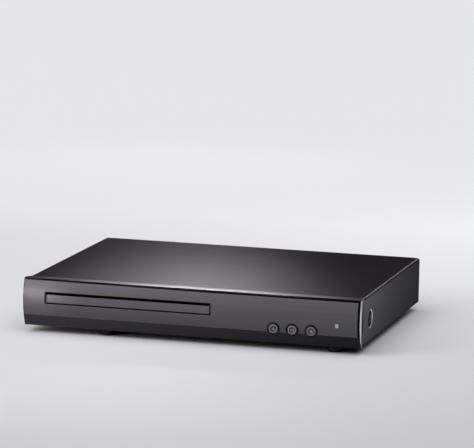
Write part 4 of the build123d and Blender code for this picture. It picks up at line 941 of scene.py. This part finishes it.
def repeated(name, template_mesh, places, finish):
    """A plain mesh object with the template on every (point, rotation)."""
    cloud = bpy.data.meshes.new(name + " points")
    cloud.from_pydata([tuple(point) for point, turn in places], [], [])
    turns = cloud.attributes.new("turn", "FLOAT_VECTOR", "POINT")
    for item, (point, turn) in zip(turns.data, places):
        item.vector = turn.to_euler()
    template = new_object(name + " template", template_mesh)
    carrier = new_object(name + " carrier", cloud)
    modifier = carrier.modifiers.new("repeat", "NODES")
    modifier.node_group = repeat
    modifier[sockets["Template"]] = template
    modifier[sockets["Finish"]] = finish.material
    mesh = settled(carrier, name)
    mesh.materials.clear()
    mesh.materials.append(finish.material)
    carrier.modifiers.remove(modifier)
    bpy.data.objects.remove(carrier)
    bpy.data.objects.remove(template)
    made = new_object(name, mesh)
    mesh.shade_smooth()
    mesh.set_sharp_from_angle(angle=smooth_angle)
    print(name, len(places), "copies,", len(mesh.polygons), "faces")
    return made


# %% [markdown]
# Screws are driven in until they hold, so no two crosses stand alike: each screw is turned
# further than the last. The rear screws are small, those in the dimples of the cover are larger.

# %% Screws on every seat
head_slack = 0.1 * MM
turn_step = 0.7


def screws(name, seats, radius, finish):
    """Screws on all seats with this head radius."""
    places = []
    for i, (seat, outward, head) in enumerate(seats):
        if abs(head - radius) < head_slack:
            aim = outward.to_track_quat("Z", "Y").to_matrix()
            places.append((seat, aim @ Matrix.Rotation(turn_step * i, 3, "Z")))
    return repeated(name, screw_mesh(radius), places, finish)


rear_screws = screws("rear_cover_screws", cover_seats, small_head, black_oxide)
side_screws = screws("side_cover_screws", cover_seats, large_head, black_oxide)
inner_screws = screws("inner_screws", chassis_seats, small_head, bright_steel)
for piece, node, slot in (
    (rear_screws, "cover_screws", "screw_black"),
    (side_screws, "cover_screws", "screw_black"),
    (inner_screws, "chassis_screws", "bare_steel"),
):
    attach(piece, "case")
    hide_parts(node)

# %% [markdown]
# Chips stand on rows of bent leads. The lead is one folded strip, and the rows are worked out
# from each package's own box: the square decoder has leads on four sides, the long packages on
# their two long sides.

# %% Chip leads
lead_pitch = 0.8 * MM
lead_width = 0.35 * MM
lead_reach = 1.1 * MM
lead_gauge = 0.15 * MM
row_margin = 1.0 * MM
square_slack = 1.0 * MM


def lead_mesh(rise):
    """A folded lead from the origin along +X to the board, which lies a rise below."""
    foot = lead_gauge - rise
    half = lead_width / 2
    path = [(0.0, 0.0), (0.4 * lead_reach, 0.0), (0.6 * lead_reach, foot), (lead_reach, foot)]
    shape = bmesh.new()
    rows = []
    for x, z in path:
        section = [(-half, z), (-half, z - lead_gauge), (half, z - lead_gauge), (half, z)]
        rows.append([shape.verts.new((x, y, height)) for y, height in section])
    for near, far in zip(rows, rows[1:]):
        for i in range(4):
            j = (i + 1) % 4
            shape.faces.new((near[i], near[j], far[j], far[i]))
    shape.faces.new(rows[0])
    shape.faces.new(rows[-1])
    return closed_mesh(shape, "lead")


def lead_places(solid):
    """Point and rotation of every lead of one package, half way up its sides."""
    low, high = corners(solid)
    size = high - low
    middle = (low + high) / 2
    square = abs(size.x - size.y) < square_slack
    places = []
    for axis in (0, 1):
        across = 1 - axis
        if not square and size[axis] > size[across]:
            continue
        count = int((size[across] - row_margin) / lead_pitch)
        for side in (-1, 1):
            aim = Vector((0, 0, 0))
            aim[axis] = side
            turn = Matrix.Rotation(math.atan2(aim.y, aim.x), 3, "Z")
            for i in range(count):
                point = middle.copy()
                point[axis] += side * size[axis] / 2
                point[across] += (i - (count - 1) / 2) * lead_pitch
                places.append((point, turn))
    return places


tin = metal("tinned lead", (0.62, 0.62, 0.6), 0.25)
for i, solid in enumerate(solids_of("main_chips")):
    low, high = corners(solid)
    lead = lead_mesh((high.z - low.z) / 2)
    leads = repeated(f"chip_leads_{i + 1}", lead, lead_places(solid), tin)
    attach(leads, "case")

# %% [markdown]
# Each key carries a printed symbol: open, play and pause, stop. The keycap is dished, so a flat
# print would sink into it. The symbol's outline is filled with a fine mesh, and each point is
# then set just in front of the dish.

# %% Key symbols
dish_radius = 5.54 * MM
dish_depth = 0.5 * MM
print_height = 0.03 * MM
symbol_size = 1.15 * MM
symbol_cuts = 5
symbols = {
    "open": [[(-1, -0.2), (1, -0.2), (0, 1)], [(-1, -0.8), (1, -0.8), (1, -0.45), (-1, -0.45)]],
    "play": [[(-1.1, -0.9), (0.2, 0), (-1.1, 0.9)]]
    + [[(x, -0.9), (x + 0.3, -0.9), (x + 0.3, 0.9), (x, 0.9)] for x in (0.4, 0.9)],
    "stop": [[(-0.8, -0.8), (0.8, -0.8), (0.8, 0.8), (-0.8, 0.8)]],
}
print_grey = (0.21, 0.21, 0.215)
symbol_print = moulded("pale key print", print_grey, 0.45)


def key_symbol(key):
    """The printed symbol on one keycap's dish."""
    low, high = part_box(f"{key}_button")
    middle_x = (low.x + high.x) / 2
    middle_z = (low.z + high.z) / 2
    shape = bmesh.new()
    for outline in symbols[key]:
        ring = [shape.verts.new((symbol_size * x, 0, symbol_size * z)) for x, z in outline]
        shape.faces.new(ring)
    bmesh.ops.triangulate(shape, faces=shape.faces)
    bmesh.ops.subdivide_edges(shape, edges=shape.edges, cuts=symbol_cuts, use_grid_fill=True)
    for vertex in shape.verts:
        rim = vertex.co.x**2 + vertex.co.z**2
        depth = low.y + dish_depth - dish_radius + math.sqrt(dish_radius**2 - rim)
        vertex.co = (middle_x + vertex.co.x, depth - print_height, middle_z + vertex.co.z)
    mesh = bpy.data.meshes.new(f"{key}_symbol")
    shape.to_mesh(mesh)
    shape.free()
    mesh.materials.append(symbol_print.material)
    made = new_object(f"{key}_symbol", mesh)
    thick = made.modifiers.new("print", "SOLIDIFY")
    thick.thickness = 2 * print_height
    thick.offset = 0
    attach(made, f"{key}_key")
    return made


for key in symbols:
    print(key_symbol(key).name)

# %% [markdown]
# The stage is a plain pale floor. The camera looks down by about nine degrees through a long
# lens, so the floor fills the whole picture and no backdrop is needed. The floor's colour gets
# paler behind the player: painted light, for the stronger light that falls there.

# %% Floor
floor_size = 60.0
floor_near = (0.645, 0.645, 0.655)
floor_far = (0.95, 0.95, 0.96)
floor_turn = -0.1
floor_fade = 0.6


def pale_floor():
    """Matt paper with painted light: paler behind the player."""
    paint = Paint("pale floor", Specular_IOR_Level=0.1)
    # painted light: the colour is paler behind the player
    behind = paint.run("Y", floor_turn, floor_fade, (0.0, 0.0), (1.0, 1.0))
    cloud = paint.grain(0.4, 2.0)
    paint.set(Base_Color=paint.mix(behind, floor_near, floor_far), Roughness=0.88 + 0.04 * cloud)
    return paint


half = floor_size / 2
floor_corners = [(-half, -half, 0), (half, -half, 0), (half, half, 0), (-half, half, 0)]
floor_mesh = bpy.data.meshes.new("floor")
floor_mesh.from_pydata(floor_corners, [], [(0, 1, 2, 3)])
floor_mesh.materials.append(pale_floor().material)
floor = new_object("floor", floor_mesh)
print("floor of", floor_size, "m")

# %% [markdown]
# Light makes this object: it is black and grey, so its shape shows in reflections. A softbox at
# the front left lights the fascia and fades towards the right, and a small lamp beside it warms
# the fascia's left end. Small lamps low behind the player, where the top mirrors them, draw the
# glow on the cover, the bright line along the ledge and the thin line on the bend at the right.

# %% Lights
white = (1.0, 1.0, 1.0)
mauve = (1.0, 0.955, 1.02)
rose = (1.0, 0.9, 0.98)


def softbox(name, place, target, size, power, spread, tint):
    """An oval lamp at a place that shines at a target, with its spread in degrees."""
    data = bpy.data.lights.new(name, "AREA")
    data.shape = "ELLIPSE"
    data.size, data.size_y = size
    data.spread = math.radians(spread)
    data.energy = power
    data.color = tint
    made = new_object(name, data)
    made.location = place
    aim = Vector(target) - Vector(place)
    made.rotation_euler = aim.to_track_quat("-Z", "Y").to_euler()
    print(name, power, "W")


front_target = (-0.05, -0.1, 0.05)
end_target = (-0.124, -0.109, 0.025)
softbox("front left", (-0.46, -0.46, 0.26), front_target, (0.56, 0.46), 0.46, 62, white)
softbox("end glow", (-0.21, -0.35, 0.045), end_target, (0.03, 0.03), 0.0018, 12, rose)
softbox("ledge line", (-0.298, 0.965, 0.22), (0.0, -0.09, 0.043), (0.24, 0.1), 0.056, 180, mauve)
softbox("cover glow", (-0.31, 1.1, 0.6), (0.0, -0.18, 0.043), (0.1, 0.1), 0.017, 12, mauve)
softbox("cover fill", (-0.31, 1.1, 0.9), (0.0, -0.2, 0.043), (0.12, 0.12), 0.004, 16, mauve)
softbox("bend line", (0.22, 1.2, 0.36), (0.13, 0.0, 0.04), (0.12, 0.2), 0.09, 50, white)

# %% [markdown]
# The room is a soft dome: bright overhead and a little towards the camera's side, dark low behind
# the player. It lights the floor evenly, and since the cover mirrors only what lies low behind,
# the cover stays black.

# %% Room
dome_aim = Vector((0.0, -0.26, 0.966))
dome_edge = math.radians(58)
dome_core = math.radians(30)
dome_bright = 1.76
dome_dark = 0.02
dome_tint = (0.98, 0.98, 1.0, 1.0)
world = bpy.data.worlds.new("studio")
world.use_nodes = True
room = world.node_tree
aim = room.nodes.new("ShaderNodeTexCoord")
share = room.nodes.new("ShaderNodeVectorMath")
share.operation = "DOT_PRODUCT"
share.inputs[1].default_value = dome_aim
fade = room.nodes.new("ShaderNodeMapRange")
fade.interpolation_type = "SMOOTHSTEP"
ends = {
    "From Min": math.cos(dome_edge),
    "From Max": math.cos(dome_core),
    "To Min": dome_dark,
    "To Max": dome_bright,
}
for name, value in ends.items():
    fade.inputs[name].default_value = value
room.links.new(aim.outputs["Generated"], share.inputs[0])
room.links.new(share.outputs["Value"], fade.inputs["Value"])
room.links.new(fade.outputs["Result"], room.nodes["Background"].inputs["Strength"])
room.nodes["Background"].inputs["Color"].default_value = dome_tint
bpy.context.scene.world = world
bpy.context.scene.view_settings.view_transform = "Standard"
print("dome from", dome_dark, "low behind to", dome_bright, "overhead")

# %% [markdown]
# The camera's place and turn were fitted to the corners of the player in the picture. The three
# angles are easier to read than a matrix, so the matrix is worked out here.

# %% Camera
azimuth = math.radians(15.269)
elevation = math.radians(9.218)
roll = math.radians(1.157)
camera_place = Vector((720.754, -2615.287, 517.937)) * MM
lens_length = 262.11
level = math.cos(elevation)
back = Vector((math.sin(azimuth) * level, -math.cos(azimuth) * level, math.sin(elevation)))
right = Vector((math.cos(azimuth), math.sin(azimuth), 0))
up = back.cross(right)
turned_right = right * math.cos(roll) + up * math.sin(roll)
turned_up = up * math.cos(roll) - right * math.sin(roll)
camera_data = bpy.data.cameras.new("camera")
camera_data.lens = lens_length
camera_data.sensor_width = 36.0
camera_data.sensor_fit = "HORIZONTAL"
camera_data.clip_end = 100.0
camera = new_object("camera", camera_data)
turn = Matrix((turned_right, turned_up, back)).transposed()
camera.matrix_world = Matrix.Translation(camera_place) @ turn.to_4x4()
bpy.context.scene.camera = camera
print("camera at", tuple(round(v, 3) for v in camera_place))
